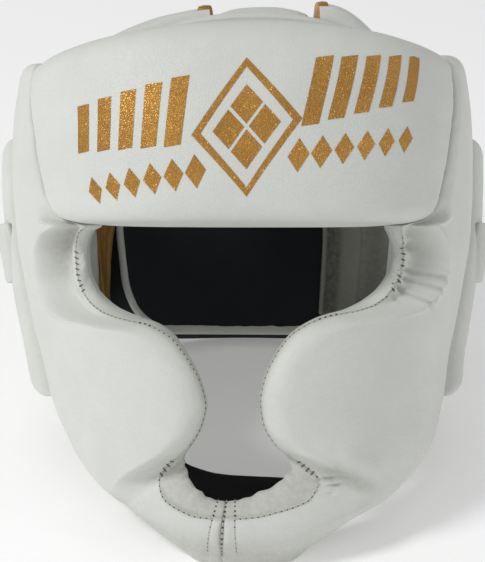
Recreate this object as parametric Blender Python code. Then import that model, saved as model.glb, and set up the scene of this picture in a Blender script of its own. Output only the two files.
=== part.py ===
# Boxing headgear with a chin bar, built from padded leather panels. Sizes are in metres.
# It is laid out upright, as worn: the wearer faces -Y, the ear line is at y = 0 and the
# underside of the chin bar is at z = 0. It then leans back to rest on a table.
import math
from bisect import bisect_right
from collections import namedtuple

import bmesh
import bpy
from mathutils import Matrix, Vector

# Outer shell
GUARD_HEIGHT = 0.2725  # underside of the chin bar to the top of the forehead pad
HALF_WIDTH = 0.123  # centre plane to the outer face at the temples
FRONT_REACH = 0.129  # ear line to the front of the forehead pad
BACK_REACH = 0.122  # ear line to the outer face of the back pad
FRONT_SQUARENESS = 2.4  # exponent of the shell's plan in front of the ears
BACK_SQUARENESS = 2.0  # and behind them

# Pads
PAD_THICKNESS = 0.030  # foam and leather of the cheek and chin pads
FOREHEAD_THICKNESS = 0.030
FOREHEAD_BOTTOM = 0.1675  # height of the brow edge above the chin bar's underside
FOREHEAD_FALL = 0.0160  # how far the top edge falls from the centre to the temples
FOREHEAD_TILT = 0.0022  # the top edge's left temple is this much higher, the right one lower
BACK_THICKNESS = 0.022
BACK_TOP = 0.236
BACK_HALF_ANGLE = 45.8  # degrees either side of the centre line
BACK_CORNER = 0.034  # radius of the back pad's corners
INNER_ROUND = 0.004  # how far the inner faces round off at their edges

# Ear panels
EAR_THICKNESS = 0.028
EAR_STAND = 0.0095  # how far an ear panel bulges outside the shell
EAR_BOTTOM = 0.0775
EAR_TOP = 0.217
EAR_REAR_RISE = 0.032  # how far the bottom edge climbs towards the back
EAR_REAR_ANGLE = 124.5
EAR_FRONT_STEP = 1.0  # degrees between a cheek pad's rear edge and the ear panel

# Crown
CROWN_RISE = 0.0135  # crown top above the forehead pad's top edge
CROWN_THICKNESS = 0.011
CROWN_WIDTH = 0.049  # of the strap over the middle of the head
CROWN_SHIFT = 0.0112  # of that strap to the wearer's left
CROWN_LAP = 0.0345  # how far below the guard's top the crown pieces start inside the pads
CROWN_ROUNDNESS = 2.05
CROWN_PANEL_LENGTH = 0.094  # of the panels' inner ends, front to back
CROWN_PANEL_CROWN = 0.004  # how far the panels fall towards their front and back edges
CROWN_PANEL_FRONT_ANGLE = 61.0  # the stretch of the cheek pads that the panels are sewn to
CROWN_PANEL_REAR_ANGLE = 90.0
CROWN_FOLD_RISE = 0.0080  # lifted fold in the panel on the wearer's left
CROWN_FOLD_WIDTH = 0.044

# Thin pieces
BINDING_THICKNESS = 0.0013
BACK_BINDING_WIDTH = 0.0045
CROWN_BINDING_WIDTH = 0.0048
EAR_BINDING_WIDTH = 0.0095
LINING_THICKNESS = 0.0014
WING_THICKNESS = 0.003
WING_BOTTOM = 0.110
WING_TOP = 0.212
WING_LAP_ANGLE = 151.0  # where a wing ends on the back pad
WING_NARROWING = 0.005  # of the wing's top and bottom edges at that end
STRAP_THICKNESS = 0.002
STRAP_BOTTOM = 0.140
STRAP_TOP = 0.171
STRAP_START_ANGLE = 97.0
STRAP_OVERLAP_ANGLE = 20.0  # how far each closure strap passes the centre of the back
CHIN_STRAP_WIDTH = 0.025
CHIN_STRAP_END_WIDTH = 0.022
CHIN_STRAP_THICKNESS = 0.0025

# Fits
SEAM_GAP = 0.0007  # between panels sewn edge to edge
LAP_GAP = 0.0006  # between pieces that lie on each other

# Rest
REST_LEAN = 28.0  # degrees the guard leans back on a table
REST_FLAT = 0.0030  # how far the leather flattens where it rests

SHELL_CENTRE = Vector((0.0, 0.0, 0.62 * GUARD_HEIGHT))

# Sections of the shell: shares of the guard's height, half width, front reach and back
# reach. The last column is how far a section sits to the wearer's left, of the half width.
ShellRow = namedtuple("ShellRow", "height half_width front back aside")
SHELL = [
    ShellRow(0.000, 0.660, 0.880, 0.80, 0.010),
    ShellRow(0.050, 0.700, 0.908, 0.82, 0.020),
    ShellRow(0.100, 0.750, 0.930, 0.84, 0.032),
    ShellRow(0.200, 0.815, 0.950, 0.88, 0.036),
    ShellRow(0.283, 0.855, 0.960, 0.91, 0.022),
    ShellRow(0.375, 0.889, 0.972, 0.94, 0.012),
    ShellRow(0.433, 0.920, 0.981, 0.965, 0.010),
    ShellRow(0.510, 0.955, 0.990, 0.985, 0.008),
    ShellRow(0.610, 0.988, 1.000, 1.00, 0.004),
    ShellRow(0.735, 1.000, 0.996, 0.99, 0.000),
    ShellRow(0.822, 0.995, 0.978, 0.95, 0.000),
    ShellRow(0.900, 0.975, 0.950, 0.88, 0.000),
    ShellRow(0.940, 0.957, 0.930, 0.82, 0.000),
    ShellRow(1.000, 0.912, 0.890, 0.72, 0.000),
]

# Seam between the forehead pad and a cheek pad: share of the pad's height there, and angle.
SeamRow = namedtuple("SeamRow", "rise angle")
SEAM = [
    SeamRow(0.00, 40.0),
    SeamRow(0.04, 46.0),
    SeamRow(0.11, 49.2),
    SeamRow(0.25, 52.3),
    SeamRow(0.50, 56.0),
    SeamRow(0.75, 60.2),
    SeamRow(1.00, 62.5),
]

# A cheek pad from the temple (at 0) down the cheek to the chin seam (at 1). Angles are from
# the front. Shift is how far the face edges turn to the wearer's right, and rise is how much
# higher the left one is than the middle of the two. Heights and rises are shares of the
# guard's height. The rest are shares of the pad's thickness: how thick it is, how far the
# outer face sinks at the face edge, over what run, how scooped rather than rounded that is
# (0 to 1), and how far the edge wall bulges.
CheekRow = namedtuple(
    "CheekRow",
    "at rear_angle rear_height face_angle face_height shift rise thickness drop run scoop lip",
)
CHEEK = [
    CheekRow(0.000, 89.5, 0.940, 62.5, 0.940, 0.0, 0.000, 0.80, 0.16, 0.23, 0.0, 0.00),
    CheekRow(0.150, 91.5, 0.785, 56.0, 0.785, 0.0, 0.000, 0.82, 0.16, 0.23, 0.0, 0.00),
    CheekRow(0.250, 91.3, 0.677, 49.0, 0.650, 0.0, 0.000, 0.84, 0.20, 0.28, 0.2, 0.00),
    CheekRow(0.300, 91.0, 0.618, 40.3, 0.612, 0.0, 0.000, 0.84, 0.34, 0.50, 0.6, 0.00),
    CheekRow(0.340, 90.6, 0.588, 42.6, 0.595, 1.4, 0.000, 0.82, 0.40, 0.66, 1.0, 0.03),
    CheekRow(0.380, 90.0, 0.551, 45.0, 0.558, 1.9, 0.000, 0.81, 0.44, 0.76, 1.0, 0.05),
    CheekRow(0.420, 89.3, 0.514, 45.3, 0.521, 2.4, 0.002, 0.82, 0.44, 0.80, 1.0, 0.06),
    CheekRow(0.460, 88.3, 0.474, 43.0, 0.485, 2.8, 0.005, 0.86, 0.44, 0.80, 1.0, 0.07),
    CheekRow(0.500, 87.0, 0.430, 36.4, 0.455, 1.9, 0.009, 0.92, 0.42, 0.76, 0.9, 0.07),
    CheekRow(0.540, 85.0, 0.384, 28.5, 0.442, 1.2, 0.009, 0.98, 0.40, 0.62, 0.6, 0.06),
    CheekRow(0.580, 82.4, 0.340, 21.9, 0.434, 2.2, 0.008, 1.03, 0.40, 0.52, 0.3, 0.04),
    CheekRow(0.620, 79.0, 0.297, 15.2, 0.412, 3.2, 0.005, 1.05, 0.40, 0.48, 0.0, 0.02),
    CheekRow(0.660, 75.0, 0.260, 10.2, 0.367, 3.6, 0.002, 1.06, 0.40, 0.48, 0.0, 0.02),
    CheekRow(0.700, 70.0, 0.225, 7.5, 0.325, 3.6, 0.000, 1.06, 0.40, 0.48, 0.0, 0.02),
    CheekRow(0.740, 64.6, 0.194, 6.4, 0.284, 3.6, 0.000, 1.06, 0.40, 0.48, 0.0, 0.02),
    CheekRow(0.780, 58.5, 0.163, 7.4, 0.246, 4.2, 0.000, 1.05, 0.40, 0.50, 0.0, 0.04),
    CheekRow(0.820, 51.5, 0.134, 11.0, 0.204, 4.7, 0.000, 1.03, 0.40, 0.62, 0.3, 0.13),
    CheekRow(0.860, 44.0, 0.104, 17.8, 0.168, 4.5, 0.000, 1.00, 0.42, 1.25, 1.0, 0.42),
    CheekRow(0.890, 37.0, 0.082, 21.2, 0.140, 3.7, 0.000, 0.97, 0.36, 1.15, 1.0, 0.56),
    CheekRow(0.920, 29.0, 0.056, 19.0, 0.111, 4.0, 0.000, 0.95, 0.26, 0.60, 0.6, 0.50),
    CheekRow(0.950, 19.0, 0.023, 11.8, 0.089, 5.2, 0.000, 0.93, 0.18, 0.32, 0.2, 0.34),
    CheekRow(0.975, 9.5, 0.006, 6.4, 0.080, 6.0, 0.000, 0.93, 0.15, 0.25, 0.0, 0.24),
    CheekRow(1.000, 0.0, 0.005, 0.0, 0.077, 6.4, 0.000, 0.93, 0.14, 0.23, 0.0, 0.20),
]
CHEEK_SEAM_SHARE = 0.30  # the stretch of the face edge above this follows the forehead seam
CHIN_SHARE = 0.86  # from here on the lower edge turns with the upper one

# How a pad's outer face sinks at an edge, in metres.
Edge = namedtuple("Edge", "drop run scoop lip")
BROW_EDGE = Edge(0.0085, 0.012, 0.0, 0.002)
TOP_EDGE = Edge(0.013, 0.017, 0.0, 0.002)
REAR_EDGE = Edge(0.010, 0.014, 0.0, 0.0005)
JAW_EDGE = Edge(0.011, 0.015, 0.0, 0.003)
CHIN_EDGE = Edge(0.008, 0.009, 0.0, 0.006)
EAR_EDGE = Edge(0.010, 0.012, 0.0, 0.001)
BACK_EDGE = Edge(0.006, 0.009, 0.0, 0.001)
CROWN_EDGE = Edge(0.003, 0.005, 0.0, 0.0005)
LEAST_LIP = 0.0003
SEAM_DROP, SEAM_RUN = 0.005, 0.007
TEMPLE_DROP, TEMPLE_RUN = 0.006, 0.012
CHIN_SEAM_DROP, CHIN_SEAM_RUN = 0.0015, 0.004

# The chin strap's centre line, from the middle of the cup up to the ear panel, where it ends
# flat on the inner face. Shares of the half width, the front reach and the guard's height.
StrapRow = namedtuple("StrapRow", "out ahead height")
CHIN_STRAP = [
    StrapRow(0.000, 0.573, 0.103),
    StrapRow(0.090, 0.571, 0.104),
    StrapRow(0.175, 0.560, 0.110),
    StrapRow(0.285, 0.512, 0.134),
    StrapRow(0.398, 0.413, 0.175),
    StrapRow(0.480, 0.302, 0.222),
    StrapRow(0.530, 0.198, 0.266),
    StrapRow(0.568, 0.104, 0.309),
    StrapRow(0.618, 0.016, 0.350),
]
CHIN_STRAP_CLEARANCE = 0.0020  # its centre line to the ear panel, where it bends onto it
CHIN_STRAP_ANCHOR = ((97.0, 0.398), (99.5, 0.445))  # angle, share of the guard's height
CHIN_CUP_TILT = 32.0  # degrees the cup leans back from upright

COLOURS = {
    "white_leather": ((0.74, 0.75, 0.72, 1.0), 0.45, 0.0),
    "grey_leather": ((0.50, 0.50, 0.46, 1.0), 0.55, 0.0),
    "gold_binding": ((0.45, 0.27, 0.07, 1.0), 0.40, 0.35),
    "black_fabric": ((0.012, 0.014, 0.020, 1.0), 0.90, 0.0),
    "black_webbing": ((0.015, 0.015, 0.017, 1.0), 0.80, 0.0),
}


# Curves and tables

def along(rows, at, column):
    """A column's value on a smooth curve through the rows, keyed by their first column."""
    keys = [row[0] for row in rows]
    values = [getattr(row, column) for row in rows]
    at = min(max(at, keys[0]), keys[-1])
    i = min(bisect_right(keys, at), len(keys) - 1) - 1
    slopes = [(values[k + 1] - values[k]) / (keys[k + 1] - keys[k]) for k in range(len(keys) - 1)]

    def tangent(k):
        if k == 0 or k == len(slopes):
            return slopes[min(k, len(slopes) - 1)]
        before, after = slopes[k - 1], slopes[k]
        return 0.0 if before * after <= 0 else 2 * before * after / (before + after)

    step = keys[i + 1] - keys[i]
    t = (at - keys[i]) / step
    return (
        values[i] * (1 + 2 * t) * (1 - t) ** 2
        + values[i + 1] * t * t * (3 - 2 * t)
        + step * (tangent(i) * t * (1 - t) ** 2 - tangent(i + 1) * t * t * (1 - t))
    )


def smooth(t):
    t = min(max(t, 0.0), 1.0)
    return t * t * (3 - 2 * t)


def sink(distance, drop, run, scoop=0.0):
    """How far a face lies below full height at this distance from its edge."""
    t = min(max(1 - distance / run, 0.0), 1.0)
    rounded = 1 - math.sqrt(1 - t * t)
    return drop * (rounded * (1 - scoop) + smooth(t) * scoop)


def spaced(length, near_run, far_run, middle):
    """Places along a length: close together where its two ends round off, even between."""
    fit = min(1.0, 0.96 * length / (near_run + far_run))
    near, far = near_run * fit, far_run * fit
    start = [near * share for share in (0.0, 0.2)]
    end = [length - far * share for share in (0.2, 0.0)]
    steps = middle + 1
    body = [near + (length - near - far) * k / steps for k in range(steps + 1)]
    return start + body + end


# The shell

def shell_point(angle, height):
    """Outer face of the shell at an angle in degrees from the front, positive to +X."""
    share = height / GUARD_HEIGHT
    half = HALF_WIDTH * along(SHELL, share, "half_width")
    turn = math.radians(angle)
    out, ahead = math.sin(turn), math.cos(turn)
    if ahead > 0:
        reach, power = FRONT_REACH * along(SHELL, share, "front"), FRONT_SQUARENESS
    else:
        reach, power = BACK_REACH * along(SHELL, share, "back"), BACK_SQUARENESS
    radius = ((abs(out) / half) ** power + (abs(ahead) / reach) ** power) ** (-1 / power)
    aside = HALF_WIDTH * along(SHELL, share, "aside")
    return Vector((radius * out + aside, -radius * ahead, height))


def surface_normal(point_at, a, b, step_a, step_b):
    """Unit normal that faces away from the head, where point_at(a, b) is a surface."""
    across = point_at(a + step_a, b) - point_at(a - step_a, b)
    up = point_at(a, b + step_b) - point_at(a, b - step_b)
    normal = across.cross(up).normalized()
    return normal if normal.dot(point_at(a, b) - SHELL_CENTRE) > 0 else -normal


def on_shell(angle, height, depth):
    """Point at a depth inside the shell."""
    normal = surface_normal(shell_point, angle, height, 0.5, 0.002)
    return shell_point(angle, height) - normal * depth


# Lofting

def make_mesh(name, points, faces, material):
    mesh = bpy.data.meshes.new(name)
    mesh.from_pydata(points, [], faces)
    body = bmesh.new()
    body.from_mesh(mesh)
    bmesh.ops.recalc_face_normals(body, faces=body.faces)
    bmesh.ops.triangulate(body, faces=body.faces)
    body.to_mesh(mesh)
    body.free()
    mesh.materials.append(material)
    mesh.shade_smooth()
    mesh.set_sharp_from_angle(angle=math.radians(60))
    piece = bpy.data.objects.new(name, mesh)
    bpy.context.scene.collection.objects.link(piece)
    return piece


def loft(name, rings, outer_count, material, closed=False):
    """A solid through rings of points. The first outer_count points of a ring are its outer
    face, and as many from its end are its inner face, so the end caps are strips."""
    size = len(rings[0])
    points = [point for ring in rings for point in ring]
    faces = []
    for r in range(len(rings) if closed else len(rings) - 1):
        a, b = r * size, (r + 1) % len(rings) * size
        faces += [(a + k, a + (k + 1) % size, b + (k + 1) % size, b + k) for k in range(size)]
    if not closed:
        wall = (size - 2 * outer_count) // 2
        for base in (0, (len(rings) - 1) * size):
            inner = [base + 2 * outer_count + wall - 1 - k for k in range(outer_count)]
            faces += [
                (base + k, base + k + 1, inner[k + 1], inner[k]) for k in range(outer_count - 1)
            ]
            last = base + outer_count - 1
            faces.append([last] + [last + 1 + k for k in range(wall)] + [inner[-1]])
            tail = [base + size - wall + k for k in range(wall)]
            faces.append([inner[0]] + tail + [base])
    return make_mesh(name, points, faces, material)


WALL_STEPS = (0.27, 0.5, 0.73)


def pad_ring(place, width, thickness, low, high, end_sink, middle):
    """One section of a pad. place(v, depth) is a point at a share of the width."""
    spots = spaced(width, low.run, high.run, middle)
    rounding = min(INNER_ROUND, 0.2 * thickness)

    def outer_depth(d):
        edges = sink(d, low.drop, low.run, low.scoop)
        edges += sink(width - d, high.drop, high.run, high.scoop)
        return math.hypot(edges, end_sink)

    def inner_depth(d):
        nearest = min(d, width - d)
        return thickness - sink(nearest, rounding, 2 * rounding) - 0.3 * end_sink

    outer = [place(d / width, outer_depth(d)) for d in spots]
    inner = [place(d / width, inner_depth(d)) for d in reversed(spots)]

    def wall(d, edge, side):
        start, end = outer_depth(d), inner_depth(d)
        lip = side * max(edge.lip, LEAST_LIP)
        return [
            place((d + lip * math.sin(math.pi * w)) / width, start + (end - start) * w)
            for w in WALL_STEPS
        ]

    high_wall = wall(width, high, 1)
    low_wall = wall(0.0, low, -1)[::-1]
    return outer + high_wall + inner + low_wall, len(spots)


def path_length(point_at, steps=10):
    points = [point_at(k / steps) for k in range(steps + 1)]
    return sum((points[k + 1] - points[k]).length for k in range(steps))


# Forehead

def forehead_top(u):
    """Height of the top edge, with u from -1 at one temple to 1 at the other."""
    return GUARD_HEIGHT - FOREHEAD_FALL * u * u + FOREHEAD_TILT * u


def seam_angle(rise):
    return along(SEAM, rise, "angle")


def seam_height(rise, side):
    return FOREHEAD_BOTTOM + rise * (forehead_top(side) - FOREHEAD_BOTTOM)


def forehead_spot(u, v):
    """Angle and height at u across and v from the brow edge to the top edge."""
    return u * seam_angle(v), FOREHEAD_BOTTOM + v * (forehead_top(u) - FOREHEAD_BOTTOM)


def forehead_pad(material):
    half_length = path_length(lambda t: on_shell(*forehead_spot(t, 0.5), 0.0))
    stations = spaced(2 * half_length, SEAM_RUN, SEAM_RUN, 14)
    rings = []
    for station in stations:
        u = station / half_length - 1
        end = min(station, 2 * half_length - station)
        width = path_length(lambda t: on_shell(*forehead_spot(u, t), 0.0))
        ring, count = pad_ring(
            lambda v, depth: on_shell(*forehead_spot(u, v), depth),
            width,
            FOREHEAD_THICKNESS * (1 - 0.16 * u * u),
            BROW_EDGE._replace(lip=BROW_EDGE.lip * (1 - u**8)),
            TOP_EDGE,
            sink(end, SEAM_DROP, SEAM_RUN),
            3,
        )
        rings.append(ring)
    return loft("forehead_pad", rings, count, material)


# Cheek and chin pads

JawRow = namedtuple("JawRow", "angle height")
RearRow = namedtuple("RearRow", "height angle")


def jaw_height(angle):
    """Height of the jaw edge at an angle from the front."""
    rows = [JawRow(row.rear_angle, row.rear_height) for row in CHEEK if row.at >= CHIN_SHARE]
    return along(rows[::-1], angle, "height") * GUARD_HEIGHT


def cheek_spot(at, v, side):
    """Angle and height on one side, with v from 0 at the jaw edge to 1 at the face edge."""
    rear_angle = along(CHEEK, at, "rear_angle")
    rear_height = along(CHEEK, at, "rear_height") * GUARD_HEIGHT
    rear_height += (side + 1) * FOREHEAD_TILT * smooth(1 - 4 * at)
    shift = side * along(CHEEK, at, "shift")
    if at < CHEEK_SEAM_SHARE:
        rise = 1 - at / CHEEK_SEAM_SHARE
        face_angle = seam_angle(rise) + math.degrees(SEAM_GAP / HALF_WIDTH)
        face_height = seam_height(rise, side) - SEAM_GAP
    else:
        face_angle = along(CHEEK, at, "face_angle") - shift
        face_height = along(CHEEK, at, "face_height") + side * along(CHEEK, at, "rise")
        face_height *= GUARD_HEIGHT
    if at > CHIN_SHARE:
        rear_angle -= shift * smooth((at - CHIN_SHARE) / (1 - CHIN_SHARE))
        rear_height = jaw_height(abs(rear_angle))
    seam_side = math.degrees(0.5 * SEAM_GAP / FRONT_REACH) * smooth((at - 0.97) / 0.03)
    angle = rear_angle + v * (face_angle - rear_angle) + seam_side
    return angle, rear_height + v * (face_height - rear_height)


def cheek_place(at, v, depth, side):
    angle, height = cheek_spot(at, v, side)
    return on_shell(side * angle, height, depth)


def mix_edges(a, b, share):
    return Edge(*(a[k] + (b[k] - a[k]) * share for k in range(4)))


def cheek_ring(at, side, end_sink):
    def value(column):
        return along(CHEEK, at, column) * PAD_THICKNESS

    low = mix_edges(REAR_EDGE, JAW_EDGE, smooth((at - 0.58) / 0.12))
    low = mix_edges(low, CHIN_EDGE, smooth((at - 0.80) / 0.15))
    high = Edge(value("drop"), value("run"), along(CHEEK, at, "scoop"), value("lip"))
    width = path_length(lambda t: cheek_place(at, t, 0.0, side))
    return pad_ring(
        lambda v, depth: cheek_place(at, v, depth, side),
        width, value("thickness"), low, high, end_sink, 3,
    )


def cheek_pad(name, side, material):
    length = path_length(lambda t: cheek_place(t, 0.5, 0.0, side), 40)
    rings = []
    for station in spaced(length, TEMPLE_RUN, CHIN_SEAM_RUN, 29):
        end_sink = sink(station, TEMPLE_DROP, TEMPLE_RUN)
        end_sink += sink(length - station, CHIN_SEAM_DROP, CHIN_SEAM_RUN)
        ring, count = cheek_ring(station / length, side, end_sink)
        rings.append(ring)
    return loft(name, rings, count, material)


# Ear panels

def cheek_rear_angle(height):
    """Angle of a cheek pad's rear edge at a height, on its upright stretch."""
    rows = [RearRow(row.rear_height, row.rear_angle) for row in reversed(CHEEK)]
    return along(rows, height / GUARD_HEIGHT, "angle")


def ear_stand(angle):
    """How far the ear panel stands outside the shell."""
    return EAR_STAND * (1 - 0.62 * smooth((angle - 106) / (EAR_REAR_ANGLE - 106)))


def ear_spot(s, v):
    rear_share = v * v
    height = EAR_BOTTOM + EAR_REAR_RISE * rear_share * (1 - s) + s * (EAR_TOP - EAR_BOTTOM)
    front = cheek_rear_angle(height) + EAR_FRONT_STEP
    return front + v * (EAR_REAR_ANGLE - front), height


def ear_place(s, v, depth, side):
    angle, height = ear_spot(s, v)
    return on_shell(side * angle, height, depth - ear_stand(angle))


def ear_panel(name, side, material):
    length = path_length(lambda t: ear_place(t, 0.5, 0.0, side))
    rings = []
    for station in spaced(length, EAR_EDGE.run, EAR_EDGE.run, 4):
        s = station / length
        end = min(station, length - station)
        width = path_length(lambda t: ear_place(s, t, 0.0, side))
        ring, count = pad_ring(
            lambda v, depth: ear_place(s, v, depth, side),
            width, EAR_THICKNESS, EAR_EDGE, BACK_EDGE,
            sink(end, EAR_EDGE.drop, EAR_EDGE.run), 2,
        )
        rings.append(ring)
    return loft(name, rings, count, material)


def ear_binding(name, side, material):
    """Gold tape on the rear edge of an ear panel, towards the head."""
    middle_radius = (HALF_WIDTH + BACK_REACH) / 2 - BACK_THICKNESS
    start = EAR_REAR_ANGLE + math.degrees((LAP_GAP + 0.5 * BACK_EDGE.lip) / middle_radius)
    turn = math.degrees(EAR_BINDING_WIDTH / middle_radius)
    depth = EAR_THICKNESS - EAR_STAND * 0.38 - INNER_ROUND - 2 * BINDING_THICKNESS
    low, high = EAR_BOTTOM + 1.25 * EAR_REAR_RISE, EAR_TOP - EAR_EDGE.run
    rings = []
    for k in range(9):
        height = low + (high - low) * k / 8
        angles = [side * (start + turn * t) for t in (0.0, 0.5, 1.0)]
        outer = [on_shell(angle, height, depth) for angle in angles]
        under = depth + 1.6 * BINDING_THICKNESS
        inner = [on_shell(angle, height, under) for angle in reversed(angles)]
        rings.append(outer + inner)
    return loft(name, rings, 3, material)


# Back pad

def back_outline(w, inset, bottom):
    """Lowest and highest edge of the back pad at w from -1 to 1 across it."""
    radius = BACK_REACH * 0.97
    half = math.radians(BACK_HALF_ANGLE) * radius - inset
    corner = BACK_CORNER - inset
    past = max(0.0, (abs(w) * half - (half - corner)) / corner)
    cut = corner * (1 - math.sqrt(max(0.0, 1 - min(past, 1.0) ** 2)))
    angle = 180 + w * math.degrees(half / radius)
    return angle, bottom + inset + cut, BACK_TOP - inset - cut


def back_spot(w, v, inset, bottom):
    angle, low, high = back_outline(w, inset, bottom)
    return angle, low + v * (high - low)


def corner_stations(inset, middle):
    """Places from -1 to 1 across the back, closer together round its corners."""
    half = math.radians(BACK_HALF_ANGLE) * BACK_REACH * 0.97 - inset
    share = 1 - (BACK_CORNER - inset) / half
    bend = [share + (1 - share) * math.sin(math.radians(a)) for a in (30, 52, 70, 84, 90)]
    flat = [-share + 2 * share * k / middle for k in range(middle + 1)]
    return [-w for w in reversed(bend)] + flat + bend


def back_pad(bottom, material):
    rings = []
    for w in corner_stations(0.0, 8):
        angle, low, high = back_outline(w, 0.0, bottom)
        half = math.radians(BACK_HALF_ANGLE) * BACK_REACH
        ring, count = pad_ring(
            lambda v, depth: on_shell(*back_spot(w, v, 0.0, bottom), depth),
            high - low, BACK_THICKNESS, BACK_EDGE, BACK_EDGE,
            sink((1 - abs(w)) * half, BACK_EDGE.drop, BACK_EDGE.run), 3,
        )
        rings.append(ring)
    return loft("back_pad", rings, count, material)


def back_lining(bottom, material):
    """Black lining inside the binding, a thin sheet on the pad's inner face."""
    inset = BACK_BINDING_WIDTH + SEAM_GAP
    depth = BACK_THICKNESS + LAP_GAP
    rings = []
    for w in corner_stations(inset, 8):
        spots = [back_spot(w, k / 4, inset, bottom) for k in range(5)]
        outer = [on_shell(*spot, depth) for spot in spots]
        inner = [on_shell(*spot, depth + LINING_THICKNESS) for spot in reversed(spots)]
        rings.append(outer + inner)
    return loft("back_lining", rings, 5, material)


def back_edge_loop(inset, bottom):
    """Angle and height round the back pad's outline, at an inset from its edge."""
    stations = corner_stations(inset, 8)
    low = [back_spot(w, 0.0, inset, bottom) for w in stations]
    high = [back_spot(w, 1.0, inset, bottom) for w in reversed(stations)]
    right = [
        (high[0][0], low[-1][1] + (high[0][1] - low[-1][1]) * k / 5) for k in range(1, 5)
    ]
    left = [(low[0][0], high[-1][1] + (low[0][1] - high[-1][1]) * k / 5) for k in range(1, 5)]
    return low + right + high + left


def back_binding(bottom, material):
    """White tape round the back pad, on its inner face."""
    edge = back_edge_loop(0.0, bottom)
    inside = back_edge_loop(BACK_BINDING_WIDTH, bottom)
    low = BACK_THICKNESS + LAP_GAP
    high = low + BINDING_THICKNESS
    rings = [
        [on_shell(*a, low), on_shell(*b, low), on_shell(*b, high), on_shell(*a, high)]
        for a, b in zip(edge, inside)
    ]
    return loft("back_binding", rings, 2, material, closed=True)


# Rear wings and closure straps

def band(name, angles, low, high, depth_at, thickness, side, material, rows=3):
    """A curved strip: low, high and depth_at give its edges and its outer depth by angle."""
    rings = []
    for angle in angles:
        heights = [low(angle) + (high(angle) - low(angle)) * k / rows for k in range(rows + 1)]
        turn, depth = side * angle, depth_at(angle)
        outer = [on_shell(turn, height, depth) for height in heights]
        inner = [on_shell(turn, height, depth + thickness) for height in reversed(heights)]
        rings.append(outer + inner)
    return loft(name, rings, rows + 1, material)


def wing_edge(angle):
    start = EAR_REAR_ANGLE
    return WING_NARROWING * smooth((angle - start) / (WING_LAP_ANGLE - start))


def wing_angles(count):
    start = EAR_REAR_ANGLE + math.degrees((LAP_GAP + BACK_EDGE.lip) / BACK_REACH)
    return [start + (WING_LAP_ANGLE - start) * k / count for k in range(count + 1)]


def rear_wing(name, side, inside, material):
    """Leather between an ear panel and the back pad, lapped outside or inside it."""
    meets_ear = EAR_THICKNESS - 0.38 * EAR_STAND - 2.6 * WING_THICKNESS
    lapped = BACK_THICKNESS + 3 * LAP_GAP + max(BINDING_THICKNESS, LINING_THICKNESS)
    bend_start, bend_end = EAR_REAR_ANGLE + 2, 180 - BACK_HALF_ANGLE - 0.5

    def depth_at(angle):
        if not inside:
            return -WING_THICKNESS - LAP_GAP
        return meets_ear + (lapped - meets_ear) * smooth(
            (angle - bend_start) / (bend_end - bend_start)
        )

    return band(
        name, wing_angles(9), lambda a: WING_BOTTOM + wing_edge(a),
        lambda a: WING_TOP - wing_edge(a), depth_at, WING_THICKNESS, side, material,
    )


def strap_depth(angle, layer):
    """Outer depth of a closure strap, which lies on the ear panel and then on the wing."""
    behind = WING_THICKNESS + 2 * LAP_GAP
    stand = ear_stand(min(angle, EAR_REAR_ANGLE)) + LAP_GAP
    past = smooth((angle - EAR_REAR_ANGLE) / 8)
    on_lower = (STRAP_THICKNESS + LAP_GAP) * layer
    return -(stand + (behind - stand) * past + STRAP_THICKNESS + on_lower)


def closure_strap(name, side, layer, material):
    """Hook-and-loop strap from one ear panel round the back and past its centre."""
    end = 180 + STRAP_OVERLAP_ANGLE
    overlap_start = 180 - STRAP_OVERLAP_ANGLE - 8
    count = 18
    angles = [STRAP_START_ANGLE + (end - STRAP_START_ANGLE) * k / count for k in range(count + 1)]

    def depth_at(angle):
        lifted = layer * smooth((angle - overlap_start + 8) / 8)
        return strap_depth(min(angle, 360 - angle), lifted)

    def narrowing(angle):
        return 0.18 * (STRAP_TOP - STRAP_BOTTOM) * smooth((angle - end + 6) / 6)

    return band(
        name, angles, lambda a: STRAP_BOTTOM + narrowing(a), lambda a: STRAP_TOP - narrowing(a),
        depth_at, STRAP_THICKNESS, side, material, rows=2,
    )


# Crown

CROWN_TOP = GUARD_HEIGHT + CROWN_RISE
CROWN_START = GUARD_HEIGHT - CROWN_LAP


def quarter(turn, power=CROWN_ROUNDNESS):
    """A rounded quarter: how far out and how far up, at 0 to 90 degrees."""
    t = math.radians(min(max(turn, 0.0), 90.0))
    return math.cos(t) ** (2 / power), math.sin(t) ** (2 / power)


def crown_front():
    """Where the middle strap starts, clear of the forehead pad at the strap's far edge."""
    far_edge = CROWN_WIDTH / 2 + CROWN_SHIFT
    angle = math.degrees(far_edge / (FRONT_REACH - FOREHEAD_THICKNESS))
    point = on_shell(angle, CROWN_START, FOREHEAD_THICKNESS + 2 * LAP_GAP)
    return Vector((0.0, point.y, point.z))


def crown_centre_line(s):
    """The middle strap's top line, from inside the forehead pad to the back pad."""
    front, back = crown_front(), on_shell(180.0, BACK_TOP + SEAM_GAP, 0.0)
    if s < 0.5:
        out, up = quarter(180 * s)
        return Vector((0.0, front.y * out, front.z + (CROWN_TOP - front.z) * up))
    out, up = quarter(180 * (1 - s))
    return Vector((0.0, back.y * out, back.z + (CROWN_TOP - back.z) * up))


def crown_centre_place(s, v, depth):
    """v runs across from the wearer's right to the wearer's left."""
    line = crown_centre_line(s)
    ahead = crown_centre_line(min(s + 0.004, 1.0)) - crown_centre_line(max(s - 0.004, 0.0))
    normal = Vector((0.0, -ahead.z, ahead.y)).normalized()
    x = CROWN_SHIFT + (v - 0.5) * CROWN_WIDTH
    fall = 0.0035 * (2 * v - 1) ** 2
    return Vector((x, line.y, line.z)) - normal * (depth + fall)


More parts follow.
